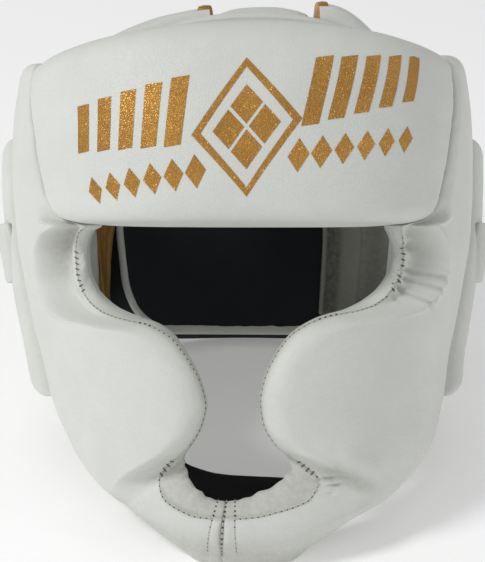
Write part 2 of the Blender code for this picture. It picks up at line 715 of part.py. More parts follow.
def crown_centre_pad(material):
    rings = []
    for k in range(17):
        # Closer together where the strap bends down at each end.
        s = 0.5 - 0.5 * math.cos(math.pi * k / 16)
        ring, count = pad_ring(
            lambda v, depth: crown_centre_place(s, v, depth),
            CROWN_WIDTH, CROWN_THICKNESS, CROWN_EDGE, CROWN_EDGE, 0.0, 1,
        )
        rings.append(ring)
    return loft("crown_centre_pad", rings, count, material)


def crown_panel_end(side):
    """Distance from the centre plane to a crown panel's inner end."""
    edge = CROWN_WIDTH / 2 + side * CROWN_SHIFT
    slant = 0.12 * CROWN_THICKNESS
    return edge + CROWN_EDGE.lip + 2 * LAP_GAP + BINDING_THICKNESS + slant


def crown_panel_start(v):
    """Where a panel leaves the cheek pad, clear of the pad's inner face."""
    angle = CROWN_PANEL_FRONT_ANGLE + v * (CROWN_PANEL_REAR_ANGLE - CROWN_PANEL_FRONT_ANGLE)
    return on_shell(angle, CROWN_START, CHEEK[1].thickness * PAD_THICKNESS + LAP_GAP)


def crown_panel_line(s, start, side):
    """Top line of a side panel from the cheek pad (0) to the middle strap (1)."""
    end = crown_panel_end(side)
    last = math.degrees(math.acos(min(1.0, (end / start.x) ** (CROWN_ROUNDNESS / 2))))
    out, up = quarter(s * last)
    x, z = start.x * out, start.z + (CROWN_TOP - start.z) * up
    if side > 0:
        lift = max(0.0, (x - end) / CROWN_FOLD_WIDTH)
        if lift < 1:
            z += CROWN_FOLD_RISE * math.sin(math.pi * min(1.0, 0.32 + 0.68 * lift)) ** 2
    return Vector((x, 0.0, z))


def crown_panel_place(s, v, depth, side):
    start = crown_panel_start(v)
    line = crown_panel_line(s, start, side)
    ahead = crown_panel_line(min(s + 0.004, 1.0), start, side)
    ahead -= crown_panel_line(max(s - 0.004, 0.0), start, side)
    normal = Vector((-ahead.z, 0.0, ahead.x)).normalized()
    if normal.z < 0:
        normal = -normal
    y = start.y + ((v - 0.5) * CROWN_PANEL_LENGTH - start.y) * smooth(1.4 * s)
    fall = CROWN_PANEL_CROWN * (2 * v - 1) ** 2 * smooth(2 * s)
    point = line - normal * (depth + fall)
    return Vector((side * point.x, y, point.z))


def crown_panel(name, side, material):
    length = path_length(lambda t: crown_panel_place(t, 0.5, 0.0, side), 30)
    stations = spaced(length, CROWN_EDGE.run, 2 * BINDING_THICKNESS, 11)
    rings = []
    for station in stations:
        s = station / length
        width = path_length(lambda t: crown_panel_place(s, t, 0.0, side))
        ring, count = pad_ring(
            lambda v, depth: crown_panel_place(s, v, depth, side),
            width, CROWN_THICKNESS, CROWN_EDGE, CROWN_EDGE, 0.0, 2,
        )
        rings.append(ring)
    return loft(name, rings, count, material)


def crown_binding(name, side, material):
    """Gold tape round a crown panel's inner end, a U that holds its edge."""
    length = path_length(lambda t: crown_panel_place(t, 0.5, 0.0, side), 30)
    near = 1 - CROWN_BINDING_WIDTH / length
    tape, gap = BINDING_THICKNESS, LAP_GAP
    rings = []
    for k in range(11):
        v = 0.06 + 0.88 * k / 10
        edge_sink = sink(min(v, 1 - v) * CROWN_PANEL_LENGTH, CROWN_EDGE.drop, CROWN_EDGE.run)
        top, under = edge_sink - gap, CROWN_THICKNESS + gap
        end_line = crown_panel_place(1.0, v, 0.0, side)
        back_line = crown_panel_place(1.0 - 0.5 * CROWN_BINDING_WIDTH / length, v, 0.0, side)
        onward = (end_line - back_line).normalized()

        def flange(depth, at_end):
            if at_end:
                return crown_panel_place(1.0, v, depth, side) + onward * at_end
            return crown_panel_place(near, v, depth, side)

        outer = [flange(top - tape, 0), flange(top - tape, gap + tape),
                 flange(under + tape, gap + tape), flange(under + tape, 0)]
        inner = [flange(under, 0), flange(under, gap), flange(top, gap), flange(top, 0)]
        rings.append(outer + inner)
    return loft(name, rings, 4, material)


# Chin strap

PathRow = namedtuple("PathRow", "at x y z")


def chin_strap_line(side):
    """Centre line of one half of the strap, with its width's direction at each point."""
    tilt = math.radians(CHIN_CUP_TILT)
    cup_up = Vector((0.0, math.sin(tilt), math.cos(tilt)))
    end_up = Vector((0.24 * side, -0.86, 0.45))
    points = []
    for row in CHIN_STRAP:
        x = HALF_WIDTH * (side * row.out + along(SHELL, row.height, "aside"))
        points.append((x, -row.ahead * FRONT_REACH, row.height * GUARD_HEIGHT))
    for angle, height in CHIN_STRAP_ANCHOR:
        depth = EAR_THICKNESS - ear_stand(angle) + CHIN_STRAP_CLEARANCE
        points.append(on_shell(side * angle, height * GUARD_HEIGHT, depth))
    last = len(points) - 1
    rows = [PathRow(k / last, *point) for k, point in enumerate(points)]
    line = []
    for k in range(21):
        at = k / 20
        point = Vector([along(rows, at, axis) for axis in "xyz"])
        line.append((point, cup_up.lerp(end_up, smooth(1.1 * at)).normalized()))
    return line


def chin_strap(material):
    right = chin_strap_line(1)
    line = chin_strap_line(-1)[:0:-1] + right
    middle = len(right) - 1
    rings = []
    for k, (point, up) in enumerate(line):
        ahead = line[min(k + 1, len(line) - 1)][0] - line[max(k - 1, 0)][0]
        outward = ahead.cross(up).normalized()
        across = outward.cross(ahead).normalized()
        share = smooth(1.6 * abs(k - middle) / middle)
        half = (CHIN_STRAP_WIDTH + (CHIN_STRAP_END_WIDTH - CHIN_STRAP_WIDTH) * share) / 2

        def spot(t, lift):
            # Its ends curl with the ear panels that they lie on.
            curl = share * (t * half) ** 2 / HALF_WIDTH
            return point + across * half * t + outward * (lift - curl)

        outer = [spot(t, CHIN_STRAP_THICKNESS / 2) for t in (-1, -0.4, 0.4, 1)]
        inner = [spot(t, -CHIN_STRAP_THICKNESS / 2) for t in (1, 0.4, -0.4, -1)]
        rings.append(outer + inner)
    return loft("chin_strap", rings, 4, material)


# Rest on the table

def lean():
    return Matrix.Rotation(math.radians(-REST_LEAN), 4, "X")


def lowest(points):
    return min((lean() @ point).z for point in points)


def floor_level():
    """Height of the chin bar's lowest point once it leans back."""
    places = [(at, side) for at in (0.95, 0.965, 0.98, 0.995) for side in (-1, 1)]
    return min(lowest(cheek_ring(at, side, 0.0)[0]) for at, side in places)


def back_bottom_height(floor):
    """Bottom of the back pad, worked out so that it reaches the table with the chin bar."""
    bottom = 0.104
    for _ in range(6):
        ring, _ = pad_ring(
            lambda v, depth: on_shell(*back_spot(0.0, v, 0.0, bottom), depth),
            BACK_TOP - bottom, BACK_THICKNESS, BACK_EDGE, BACK_EDGE, 0.0, 5,
        )
        bottom += (floor - lowest(ring)) / math.cos(math.radians(REST_LEAN))
    return bottom


def set_down(pieces, floor):
    """Leans every piece back, flattens what touches the table and centres the whole."""
    table = floor + REST_FLAT
    for piece in pieces:
        piece.data.transform(lean())
        for vertex in piece.data.vertices:
            vertex.co.z = max(0.0, vertex.co.z - table)
    corners = [vertex.co for piece in pieces for vertex in piece.data.vertices]
    middle = [
        (min(point[axis] for point in corners) + max(point[axis] for point in corners)) / 2
        for axis in (0, 1)
    ]
    for piece in pieces:
        piece.data.transform(Matrix.Translation((-middle[0], -middle[1], 0.0)))
        piece.data.update()


def make_materials():
    made = {}
    for name, (colour, roughness, metallic) in COLOURS.items():
        material = bpy.data.materials.new(name)
        material.use_nodes = True
        shader = material.node_tree.nodes["Principled BSDF"]
        shader.inputs["Base Color"].default_value = colour
        shader.inputs["Roughness"].default_value = roughness
        shader.inputs["Metallic"].default_value = metallic
        made[name] = material
    return made


def main():
    for old in list(bpy.data.objects):
        bpy.data.objects.remove(old)
    paint = make_materials()
    white, grey, gold = paint["white_leather"], paint["grey_leather"], paint["gold_binding"]
    floor = floor_level()
    bottom = back_bottom_height(floor)
    pieces = [
        forehead_pad(white),
        cheek_pad("cheek_pad_left", -1, white),
        cheek_pad("cheek_pad_right", 1, white),
        ear_panel("ear_panel_left", -1, white),
        ear_panel("ear_panel_right", 1, white),
        ear_binding("ear_binding_left", -1, gold),
        back_pad(bottom, white),
        back_lining(bottom, paint["black_fabric"]),
        back_binding(bottom, white),
        rear_wing("rear_wing_left", -1, False, white),
        rear_wing("rear_wing_right", 1, True, grey),
        closure_strap("closure_strap_right", 1, 0, white),
        closure_strap("closure_strap_left", -1, 1, white),
        crown_centre_pad(white),
        crown_panel("crown_panel_left", -1, white),
        crown_panel("crown_panel_right", 1, white),
        crown_binding("crown_binding_left", -1, gold),
        crown_binding("crown_binding_right", 1, gold),
        chin_strap(paint["black_webbing"]),
    ]
    set_down(pieces, floor)


main()
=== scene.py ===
# Boxing headgear in white leather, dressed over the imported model. Sizes are in metres.
# Each piece is laid out upright, as worn, with the face towards -Y and the chin bar's
# underside at z = 0, and is then leaned back onto the table with the rest.
import math

import bmesh
import bpy
import numpy as np
from mathutils import Matrix, Vector


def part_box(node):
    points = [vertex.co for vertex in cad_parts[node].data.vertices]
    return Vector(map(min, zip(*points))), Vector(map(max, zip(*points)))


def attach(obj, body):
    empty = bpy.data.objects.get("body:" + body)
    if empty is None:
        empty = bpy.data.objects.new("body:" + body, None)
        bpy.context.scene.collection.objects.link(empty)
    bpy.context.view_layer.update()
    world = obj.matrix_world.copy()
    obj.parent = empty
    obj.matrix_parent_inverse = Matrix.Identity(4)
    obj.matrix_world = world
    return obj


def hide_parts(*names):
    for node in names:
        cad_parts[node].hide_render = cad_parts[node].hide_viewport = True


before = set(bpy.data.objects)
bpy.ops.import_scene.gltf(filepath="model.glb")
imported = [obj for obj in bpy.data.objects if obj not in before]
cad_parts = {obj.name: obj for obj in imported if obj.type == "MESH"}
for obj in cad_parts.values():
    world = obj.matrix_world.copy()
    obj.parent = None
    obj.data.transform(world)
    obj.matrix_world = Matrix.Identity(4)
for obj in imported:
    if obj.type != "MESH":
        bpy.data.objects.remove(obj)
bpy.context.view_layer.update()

detail = 1.0

guard = {
    "height": 0.2725,
    "halfWidth": 0.123,
    "frontReach": 0.129,
    "backReach": 0.122,
    "frontSquareness": 2.4,
    "backSquareness": 2.0,
    "seamGap": 0.0007,
    "lapGap": 0.0006,
    "innerRound": 0.004,
}

rest = {"lean": 28.0, "softness": 0.0025}

# Sections of the shell: shares of the guard's height, half width, front and back reach,
# and how far a section sits to the wearer's left.
shellTable = {
    "height": (0, .05, .1, .2, .283, .375, .433, .51, .61, .735, .822, .9, .94, 1),
    "halfWidth": (.66, .7, .75, .815, .855, .889, .92, .955, .988, 1, .995, .975, .957, .912),
    "front": (.88, .908, .93, .95, .96, .972, .981, .99, 1, .996, .978, .95, .93, .89),
    "back": (.8, .82, .84, .88, .91, .94, .965, .985, 1, .99, .95, .88, .82, .72),
    "aside": (.01, .02, .032, .036, .022, .012, .01, .008, .004, 0, 0, 0, 0, 0),
}

# The seam from the forehead pad to a cheek pad: share of the pad's height, and angle.
seamTable = {
    "rise": (0, .04, .11, .25, .5, .75, 1),
    "angle": (40, 46, 49.2, 52.3, 56, 60.2, 62.5),
}


# Numbers and curves

def curve(keys, values):
    # A smooth curve through the points, which stays between them.
    keys, values = np.asarray(keys, float), np.asarray(values, float)
    slopes = np.diff(values) / np.diff(keys)
    before, after = slopes[:-1], slopes[1:]
    turning = before * after <= 0
    middle = np.where(turning, 0, 2 * before * after / np.where(turning, 1, before + after))
    tangents = np.concatenate([slopes[:1], middle, slopes[-1:]])

    def at(x):
        x = np.clip(x, keys[0], keys[-1])
        i = np.clip(np.searchsorted(keys, x, side="right") - 1, 0, len(slopes) - 1)
        step = keys[i + 1] - keys[i]
        t = (x - keys[i]) / step
        return (
            values[i] * (1 + 2 * t) * (1 - t) ** 2
            + values[i + 1] * t * t * (3 - 2 * t)
            + step * (tangents[i] * t * (1 - t) ** 2 - tangents[i + 1] * t * t * (1 - t))
        )

    return at


def curves(table):
    key = next(iter(table))
    return {name: curve(table[key], values) for name, values in table.items()}


def smooth(t):
    t = np.clip(t, 0, 1)
    return t * t * (3 - 2 * t)


def bump(x, width):
    return np.exp(-(x / width) ** 2)


def unit(vectors):
    return vectors / np.maximum(np.linalg.norm(vectors, axis=-1, keepdims=True), 1e-12)


def joined(x, y, z):
    return np.stack(np.broadcast_arrays(x, y, z), axis=-1).astype(float)


def sink(distance, drop, run, scoop=0.0, turned=1.0):
    # How far a face lies below full height at a distance from its edge. Turned is the share
    # of a quarter turn that the rounding makes.
    t = turned * np.clip(1 - distance / run, 0, 1)
    rounded = 1 - np.sqrt(np.maximum(0, 1 - t * t))
    rounded = rounded / (1 - np.sqrt(np.maximum(0, 1 - turned * turned)))
    return drop * (rounded * (1 - scoop) + smooth(t / turned) * scoop)


def noise(points, size, seed=0):
    # Soft noise from -1 to 1 with features of about this size.
    spot = points / size + seed * 17.31
    cell = np.floor(spot).astype(np.int64)
    t = spot - cell
    t = t * t * (3 - 2 * t)
    total = 0
    for corner in np.ndindex(2, 2, 2):
        x, y, z = (cell[..., k] + corner[k] for k in range(3))
        mixed = (x * 73856093) ^ (y * 19349663) ^ (z * 83492791)
        mixed = (mixed * 1103515245 + 12345) & 0x7FFFFFFF
        value = ((mixed >> 8) & 0xFFFF) / 32767.5 - 1
        weight = 1
        for k in range(3):
            weight = weight * (t[..., k] if corner[k] else 1 - t[..., k])
        total = total + value * weight
    return total


def even(count):
    return np.linspace(0, 1, count)


def clustered(count, share=0.65):
    # Places from 0 to 1, closer together near both ends.
    x = even(count)
    return (1 - share) * x + share * (0.5 - 0.5 * np.cos(np.pi * x))


def pathLength(points):
    return np.linalg.norm(np.diff(points, axis=-2), axis=-1).sum(axis=-1)


# The shell that the padded panels follow

shell = curves(shellTable)
seam = curves(seamTable)
shellCentre = np.array([0, 0, 0.62 * guard["height"]])


def shellPoint(angle, height):
    # Outer face at an angle in degrees from the front, positive to the wearer's left.
    share = height / guard["height"]
    out, ahead = np.sin(np.radians(angle)), np.cos(np.radians(angle))
    front = ahead > 0
    half = guard["halfWidth"] * shell["halfWidth"](share)
    reach = np.where(
        front, guard["frontReach"] * shell["front"](share), guard["backReach"] * shell["back"](share)
    )
    power = np.where(front, guard["frontSquareness"], guard["backSquareness"])
    radius = ((np.abs(out) / half) ** power + (np.abs(ahead) / reach) ** power) ** (-1 / power)
    aside = guard["halfWidth"] * shell["aside"](share)
    return joined(radius * out + aside, -radius * ahead, height)


def shellNormal(angle, height):
    across = shellPoint(angle + 0.5, height) - shellPoint(angle - 0.5, height)
    up = shellPoint(angle, height + 0.002) - shellPoint(angle, height - 0.002)
    normal = unit(np.cross(across, up))
    facing = np.sum(normal * (shellPoint(angle, height) - shellCentre), axis=-1, keepdims=True)
    return normal * np.sign(facing)


def onShell(angle, height, depth):
    angle, height, depth = np.broadcast_arrays(
        np.asarray(angle, float), np.asarray(height, float), np.asarray(depth, float)
    )
    return shellPoint(angle, height) - shellNormal(angle, height) * depth[..., None]


# Leaning back onto the table

turn = np.array(Matrix.Rotation(math.radians(-rest["lean"]), 3, "X"))


def leaned(points):
    # The leather flattens where it meets the table, with a soft bend round the flat.
    points = points.reshape(-1, 3) @ turn.T + restShift
    soft, z = rest["softness"], points[:, 2]
    bend = (z + soft) ** 2 / (4 * soft)
    points[:, 2] = np.where(z > soft, z, np.where(z < -soft, 0, bend))
    return points


# Meshes

def makeObject(name, points, faces, material, node=None, shades=None):
    mesh = bpy.data.meshes.new(name)
    mesh.from_pydata(leaned(points).tolist(), [], faces)
    for label, values in (shades or {}).items():
        layer = mesh.attributes.new(label, "FLOAT", "POINT")
        layer.data.foreach_set("value", np.asarray(values, np.float32).ravel())
    body = bmesh.new()
    body.from_mesh(mesh)
    bmesh.ops.recalc_face_normals(body, faces=body.faces)
    body.to_mesh(mesh)
    body.free()
    mesh.shade_smooth()
    mesh.materials.append(material)
    piece = bpy.data.objects.new(name, mesh)
    bpy.context.scene.collection.objects.link(piece)
    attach(piece, "root")
    if node:
        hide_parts(*node.split())
    return piece


def gridFaces(rows, columns, around, base=0, closed=False):
    # Quads through rows of points. A row closes on itself where around is true.
    faces = []
    for r in range(rows if closed else rows - 1):
        a, b = base + r * columns, base + (r + 1) % rows * columns
        for k in range(columns if around else columns - 1):
            n = (k + 1) % columns
            faces.append((a + k, a + n, b + n, b + k))
    return faces


def capFaces(low, high, left, right, start):
    # A flat grid between two edges, with its own inner points from start onwards.
    rows, columns = len(left) + 2, len(low)
    grid = np.zeros((rows, columns), int)
    grid[0], grid[-1] = low, high
    grid[1:-1, 0], grid[1:-1, -1] = left, right
    grid[1:-1, 1:-1] = start + np.arange((rows - 2) * (columns - 2)).reshape(rows - 2, -1)
    return [
        (grid[r, k], grid[r, k + 1], grid[r + 1, k + 1], grid[r + 1, k])
        for r in range(rows - 1) for k in range(columns - 1)
    ]


def padPiece(name, place, stations, thickness, low, high, endSink, material, node,
             columns=56, wallRows=9, relief=None, wallRelief=None, depthAt=None, undercut=0.0,
             wallMaterial=None, paintedShadeAt=None, wallShade=0.12):
    # A padded panel. place(s, v, depth) is a point at a share of its length and width.
    # low and high are drop, run, scoop and lip at the two long edges, by station.
    columns, wallRows = max(14, int(columns * detail)), max(4, int(wallRows * detail))
    s = stations[:, None]
    width = pathLength(place(s, even(11)[None, :], 0))[:, None]
    low = [np.broadcast_to(np.reshape(x, (-1, 1)), s.shape) for x in low]
    high = [np.broadcast_to(np.reshape(x, (-1, 1)), s.shape) for x in high]
    thickness = np.broadcast_to(np.reshape(thickness, (-1, 1)), s.shape)
    endSink = np.broadcast_to(np.reshape(endSink, (-1, 1)), s.shape)
    v = clustered(columns)[None, :]
    d = v * width

    if depthAt is None:
        edges = sink(d, *low[:3], *low[4:]) + sink(width - d, *high[:3])
        outerDepth = np.hypot(edges, endSink)
    else:
        outerDepth = depthAt(s, v)
    rounding = np.minimum(guard["innerRound"], 0.2 * thickness)
    nearest = np.minimum(d, width - d)
    innerDepth = thickness - sink(nearest, rounding, 2 * rounding) - 0.3 * endSink
    if relief is not None:
        outerDepth = outerDepth + relief(s, v, d, width, place(s, v, outerDepth))
    outer = place(s, v, outerDepth)
    soft = noise(place(s, v, innerDepth), 0.022, 5) * 0.0005
    within = np.broadcast_to(np.reshape(undercut, (-1, 1)), s.shape) / width
    inner = place(s, v * (1 - within), innerDepth + soft - 0.0003)

    w = even(wallRows + 2)[None, 1:-1]

    def wall(edge, column, side, at):
        start = outerDepth[:, -1:] if column else outerDepth[:, :1]
        end = innerDepth[:, -1:] if column else innerDepth[:, :1]
        lip = np.maximum(edge[3], 0.0003) * np.sin(np.pi * w)
        spread = at + side * lip / width - column * within * w
        depth = start + (end - start) * w
        if wallRelief is not None and column:
            spread, depth = wallRelief(s, w, spread, depth, width)
        return place(s, spread, depth)

    highWall, lowWall = wall(high, 1, 1, 1.0), wall(low, 0, -1, 0.0)
    ring = np.concatenate([outer, highWall, inner[:, ::-1], lowWall[:, ::-1]], axis=1)
    rows, around = ring.shape[:2]
    points = [ring.reshape(-1, 3)]
    faces = gridFaces(rows, around, True)
    count = rows * around
    walls, k = wallRows, columns
    for r in (0, rows - 1):
        base = r * around
        lowIds = base + np.arange(k)
        highIds = base + 2 * k + walls - 1 - np.arange(k)
        left = base + around - 1 - np.arange(walls)
        right = base + k + np.arange(walls)
        faces += capFaces(lowIds, highIds, left, right, count)
        share = even(walls + 2)[1:-1, None, None]
        cap = outer[r][None, 1:-1] * (1 - share) + inner[r][None, 1:-1] * share
        points.append(cap.reshape(-1, 3))
        count += cap.shape[0] * cap.shape[1]
    points = np.concatenate(points)
    # Painted shade stored on the mesh: ends, inner faces and walls are darkened. The outer face darkens along its
    # edges, partly seam dirt and partly painted shade.
    shade = np.full(count, 0.35)
    edge = (0.8 * bump(width - d, 0.0014) + 0.25 * bump(d, 0.0014)) * np.ones_like(outerDepth)
    if paintedShadeAt is not None:
        edge = np.maximum(edge, paintedShadeAt(s, v, d, width))
    ringShade = np.full((rows, around), 0.12)
    ringShade[:, k:k + walls] = np.reshape(wallShade, (-1, 1))
    ringShade[:, 2 * k + walls:] = np.reshape(wallShade, (-1, 1))
    ringShade[:, :k] = edge
    shade[: rows * around] = ringShade.ravel()
    piece = makeObject(name, points, faces, material, node, {"dirtAndPaintedShade": shade})
    if wallMaterial:
        # The inner face and the inner part of the walls and ends.
        piece.data.materials.append(wallMaterial)
        grid, cap, outerPart = (rows - 1) * around, (wallRows + 1) * (columns - 1), 0.3 * wallRows
        for k, face in enumerate(piece.data.polygons):
            if k >= grid:
                inner = (k - grid) % cap // (columns - 1) > outerPart
            else:
                inner = columns + outerPart <= k % around < around - outerPart
            face.material_index = int(inner)
    return piece


def stripPiece(name, rings, material, node=None, closed=False, shade=0.0, lined=None):
    # A solid through rings of points, with fan caps where it isn't closed. lined is a second
    # material and the stretch of each ring that it covers.
    rows, around = rings.shape[:2]
    points = rings.reshape(-1, 3)
    faces = gridFaces(rows, around, True, closed=closed)
    if not closed:
        middles = np.stack([rings[0].mean(axis=0), rings[-1].mean(axis=0)])
        points = np.concatenate([points, middles])
        for row, hub in ((0, rows * around), (rows - 1, rows * around + 1)):
            base = row * around
            faces += [(base + k, base + (k + 1) % around, hub) for k in range(around)]
    values = np.zeros(len(points))
    values[:rows * around] = np.broadcast_to(np.reshape(shade, (-1, 1)), (rows, around)).ravel()
    piece = makeObject(name, points, faces, material, node, {"dirtAndPaintedShade": values})
    if lined:
        piece.data.materials.append(lined[0])
        for k, face in enumerate(piece.data.polygons):
            if k < (rows - 1) * around and lined[1] <= k % around < lined[2]:
                face.material_index = 1
    return piece


def flatRing(low, high, up, thickness, count=8, corner=6):
    # Sections of a flat strip from low to high, with rounded long edges, lying on up.
    half = thickness / 2
    side = unit(high - low)
    t = even(count)[None, :, None]
    bottomLine = low[:, None] + side[:, None] * half + (high - low - 2 * side * half)[:, None] * t
    turns = np.radians(np.linspace(90, -90, corner + 2))[1:-1]
    cosines, sines = np.cos(turns)[None, :, None], np.sin(turns)[None, :, None]
    out, lift = side[:, None], up[:, None]
    return np.concatenate([
        bottomLine + lift * thickness,
        (high - side * half)[:, None] + out * half * cosines + lift * half * (1 + sines),
        bottomLine[:, ::-1],
        (low + side * half)[:, None] - out * half * cosines + lift * half * (1 - sines),
    ], axis=1)


def resampled(points, pitch):
    # Places evenly spaced along a path, with the path's direction there.
    steps = np.linalg.norm(np.diff(points, axis=0), axis=1)
    along = np.concatenate([[0], np.cumsum(steps)])
    count = max(2, int(along[-1] / pitch))
    at = (np.arange(count) + 0.5) * along[-1] / count
    spots = np.stack([np.interp(at, along, points[:, k]) for k in range(3)], axis=1)
    ahead = np.stack([np.interp(at + 1e-4, along, points[:, k]) for k in range(3)], axis=1)
    behind = np.stack([np.interp(at - 1e-4, along, points[:, k]) for k in range(3)], axis=1)
    return spots, unit(ahead - behind), at, along


def threadTemplate(length, radius, sides=8, rings=7):
    # One stitch: a short thread that dives into the leather at both ends.
    t = np.linspace(-1, 1, rings)
    across = np.sqrt(np.maximum(0.04, 1 - np.abs(t) ** 3))
    height = radius * (0.25 - 1.5 * np.abs(t) ** 4)
    turns = np.arange(sides) / sides * 2 * np.pi
    x = np.repeat(t * length / 2, sides)
    y = (across[:, None] * radius * np.cos(turns)).ravel()
    z = (height[:, None] + across[:, None] * radius * np.sin(turns)).ravel()
    faces = gridFaces(rings, sides, True)
    faces += [tuple(range(sides)), tuple((rings - 1) * sides + k for k in range(sides))]
    return np.stack([x, y, z], axis=1), faces


def holeTemplate(size, sides=7):
    # A dark disc that stands for the hole; its dark colour is painted shade.
    turns = np.arange(sides) / sides * 2 * np.pi
    rim = np.stack([np.cos(turns) * size, np.sin(turns) * size * 0.8, 0 * turns - 0.0005], axis=1)
    top = np.stack([np.cos(turns) * size * 0.8, np.sin(turns) * size * 0.6, 0 * turns + 0.00012], axis=1)
    points = np.concatenate([rim, top])
    faces = gridFaces(2, sides, True)
    faces += [tuple(range(sides)), tuple(sides + k for k in range(sides))]
    return points, faces


def scatter(name, template, spots, ahead, up, material, angles=None):
    # Copies of a template at spots, joined into one mesh.
    points, faces = template
    side = unit(np.cross(up, ahead))
    ahead = unit(np.cross(side, up))
    if angles is not None:
        c, s = np.cos(angles)[:, None], np.sin(angles)[:, None]
        ahead, side = ahead * c + side * s, side * c - ahead * s
    placed = (
        spots[:, None]
        + ahead[:, None] * points[None, :, 0:1]
        + side[:, None] * points[None, :, 1:2]
        + up[:, None] * points[None, :, 2:3]
    )
    size = len(points)
    every = [tuple(base * size + k for k in face) for base in range(len(spots)) for face in faces]
    return makeObject(name, placed.reshape(-1, 3), every, material)


thread = {"pitch": 0.0029, "radius": 0.00036, "hole": 0.00060, "bar": 0.0034}


def stitchRow(name, surface, path, cross=None, pitch=None):
    # Stitches along path, which gives surface's two inputs at places from 0 to 1.
    # cross is the stretch that has crossed stitches, as two places.
    a, b = path(even(400))
    points = surface(a, b)
    pitch = pitch or thread["pitch"]
    radius = thread["radius"]
    spots, ahead, at, along = resampled(points, pitch)
    share = np.interp(at, along, even(400))
    a, b = path(share)
    small = 2e-3
    across = surface(a + small, b) - surface(a - small, b)
    up = surface(a, b + small) - surface(a, b - small)
    normal = unit(np.cross(across, up))
    facing = np.sum(normal * (spots - shellCentre), axis=1, keepdims=True)
    normal = normal * np.sign(facing)
    straight = threadTemplate(pitch * 0.86, radius)
    tilts = 0.10 * noise(spots, 0.0031, 3)
    piece = scatter(name + "_thread", straight, spots, ahead, normal, materials["thread"], tilts)
    holes = spots + ahead * pitch / 2
    # Dark discs at the stitch holes, as painted shade.
    scatter(name + "_holes", holeTemplate(thread["hole"]), holes, ahead, normal, materials["hole"])
    if cross is not None:
        chosen = (share > cross[0]) & (share < cross[1])
        bars = threadTemplate(thread["bar"], radius * 1.15)
        lean = np.radians(80) + 0.3 * noise(spots[chosen], 0.004, 9)
        scatter(name + "_bars", bars, holes[chosen], ahead[chosen], normal[chosen],
                materials["bar"], lean)
    return piece


# Materials

def newGroup(name, inputs, outputs):
    group = bpy.data.node_groups.new(name, "ShaderNodeTree")
    for label, kind, value in inputs:
        socket = group.interface.new_socket(label, in_out="INPUT", socket_type="NodeSocket" + kind)
        if value is not None:
            socket.default_value = value
    for label, kind in outputs:
        group.interface.new_socket(label, in_out="OUTPUT", socket_type="NodeSocket" + kind)
    return group


def addNode(tree, kind, values=None, **settings):
    node = tree.nodes.new("ShaderNode" + kind)
    for key, value in settings.items():
        setattr(node, key, value)
    for key, value in (values or {}).items():
        node.inputs[key].default_value = value
    return node


def chain(tree, *pairs):
    for start, end in pairs:
        tree.links.new(start, end)


def grainGroup():
    # Pebbled leather: fine cells with pores between them, and a slow drift of tone.
    group = newGroup(
        "LeatherGrain",
        [("Cell size", "Float", 0.0011), ("Depth", "Float", 0.5), ("Normal", "Vector", None)],
        [("Normal", "Vector"), ("Pores", "Float"), ("Drift", "Float")],
    )
    start, end = group.nodes.new("NodeGroupInput"), group.nodes.new("NodeGroupOutput")
    place = addNode(group, "TexCoord")
    inverse = addNode(group, "Math", {0: 1.0}, operation="DIVIDE")
    warp = addNode(group, "TexNoise", {"Scale": 260.0, "Detail": 2.0})
    shift = addNode(group, "VectorMath", {"Scale": 0.0012}, operation="SCALE")
    moved = addNode(group, "VectorMath", operation="ADD")
    cells = addNode(group, "TexVoronoi", {"Randomness": 1.0}, feature="DISTANCE_TO_EDGE")
    gaps = addNode(group, "MapRange", {"From Min": 0.0, "From Max": 0.22}, interpolation_type="SMOOTHSTEP")
    fine = addNode(group, "TexNoise", {"Scale": 2600.0, "Detail": 3.0, "Roughness": 0.6})
    mixed = addNode(group, "Math", {1: 0.45}, operation="MULTIPLY_ADD")
    relief = addNode(group, "Bump", {"Distance": 0.00035})
    slow = addNode(group, "TexNoise", {"Scale": 34.0, "Detail": 4.0, "Roughness": 0.55})
    chain(
        group,
        (start.outputs["Cell size"], inverse.inputs[1]),
        (place.outputs["Object"], warp.inputs["Vector"]),
        (warp.outputs["Color"], shift.inputs[0]),
        (place.outputs["Object"], moved.inputs[0]),
        (shift.outputs["Vector"], moved.inputs[1]),
        (moved.outputs["Vector"], cells.inputs["Vector"]),
        (inverse.outputs["Value"], cells.inputs["Scale"]),
        (cells.outputs["Distance"], gaps.inputs["Value"]),
        (place.outputs["Object"], fine.inputs["Vector"]),
        (fine.outputs["Fac"], mixed.inputs[0]),
        (gaps.outputs["Result"], mixed.inputs[2]),
        (mixed.outputs["Value"], relief.inputs["Height"]),
        (start.outputs["Depth"], relief.inputs["Strength"]),
        (start.outputs["Normal"], relief.inputs["Normal"]),
        (place.outputs["Object"], slow.inputs["Vector"]),
        (relief.outputs["Normal"], end.inputs["Normal"]),
        (gaps.outputs["Result"], end.inputs["Pores"]),
        (slow.outputs["Fac"], end.inputs["Drift"]),
    )
    return group


def dirtAndShadeGroup():
    # Seam dirt and painted shade, from the shade stored on the mesh: seams get dirt and shade, and hollows,
    # creases, walls and inner faces get painted shade, broken up by noise.
    group = newGroup(
        "SeamDirtAndPaintedShade",
        [("Amount", "Float", 0.6)],
        [("Mask", "Float")],
    )
    start, end = group.nodes.new("NodeGroupInput"), group.nodes.new("NodeGroupOutput")
    place = addNode(group, "TexCoord")
    shade = addNode(group, "Attribute", attribute_name="dirtAndPaintedShade")
    spots = addNode(group, "TexNoise", {"Scale": 420.0, "Detail": 3.0})
    patchy = addNode(group, "MapRange", {"From Min": 0.3, "From Max": 0.7, "To Min": 0.6, "To Max": 1.0})
    broken = addNode(group, "Math", operation="MULTIPLY")
    strength = addNode(group, "Math", operation="MULTIPLY", use_clamp=True)
    chain(
        group,
        (place.outputs["Object"], spots.inputs["Vector"]),
        (shade.outputs["Fac"], broken.inputs[0]),
        (spots.outputs["Fac"], patchy.inputs["Value"]),
        (patchy.outputs["Result"], broken.inputs[1]),
        (broken.outputs["Value"], strength.inputs[0]),
        (start.outputs["Amount"], strength.inputs[1]),
        (strength.outputs["Value"], end.inputs["Mask"]),
    )
    return group


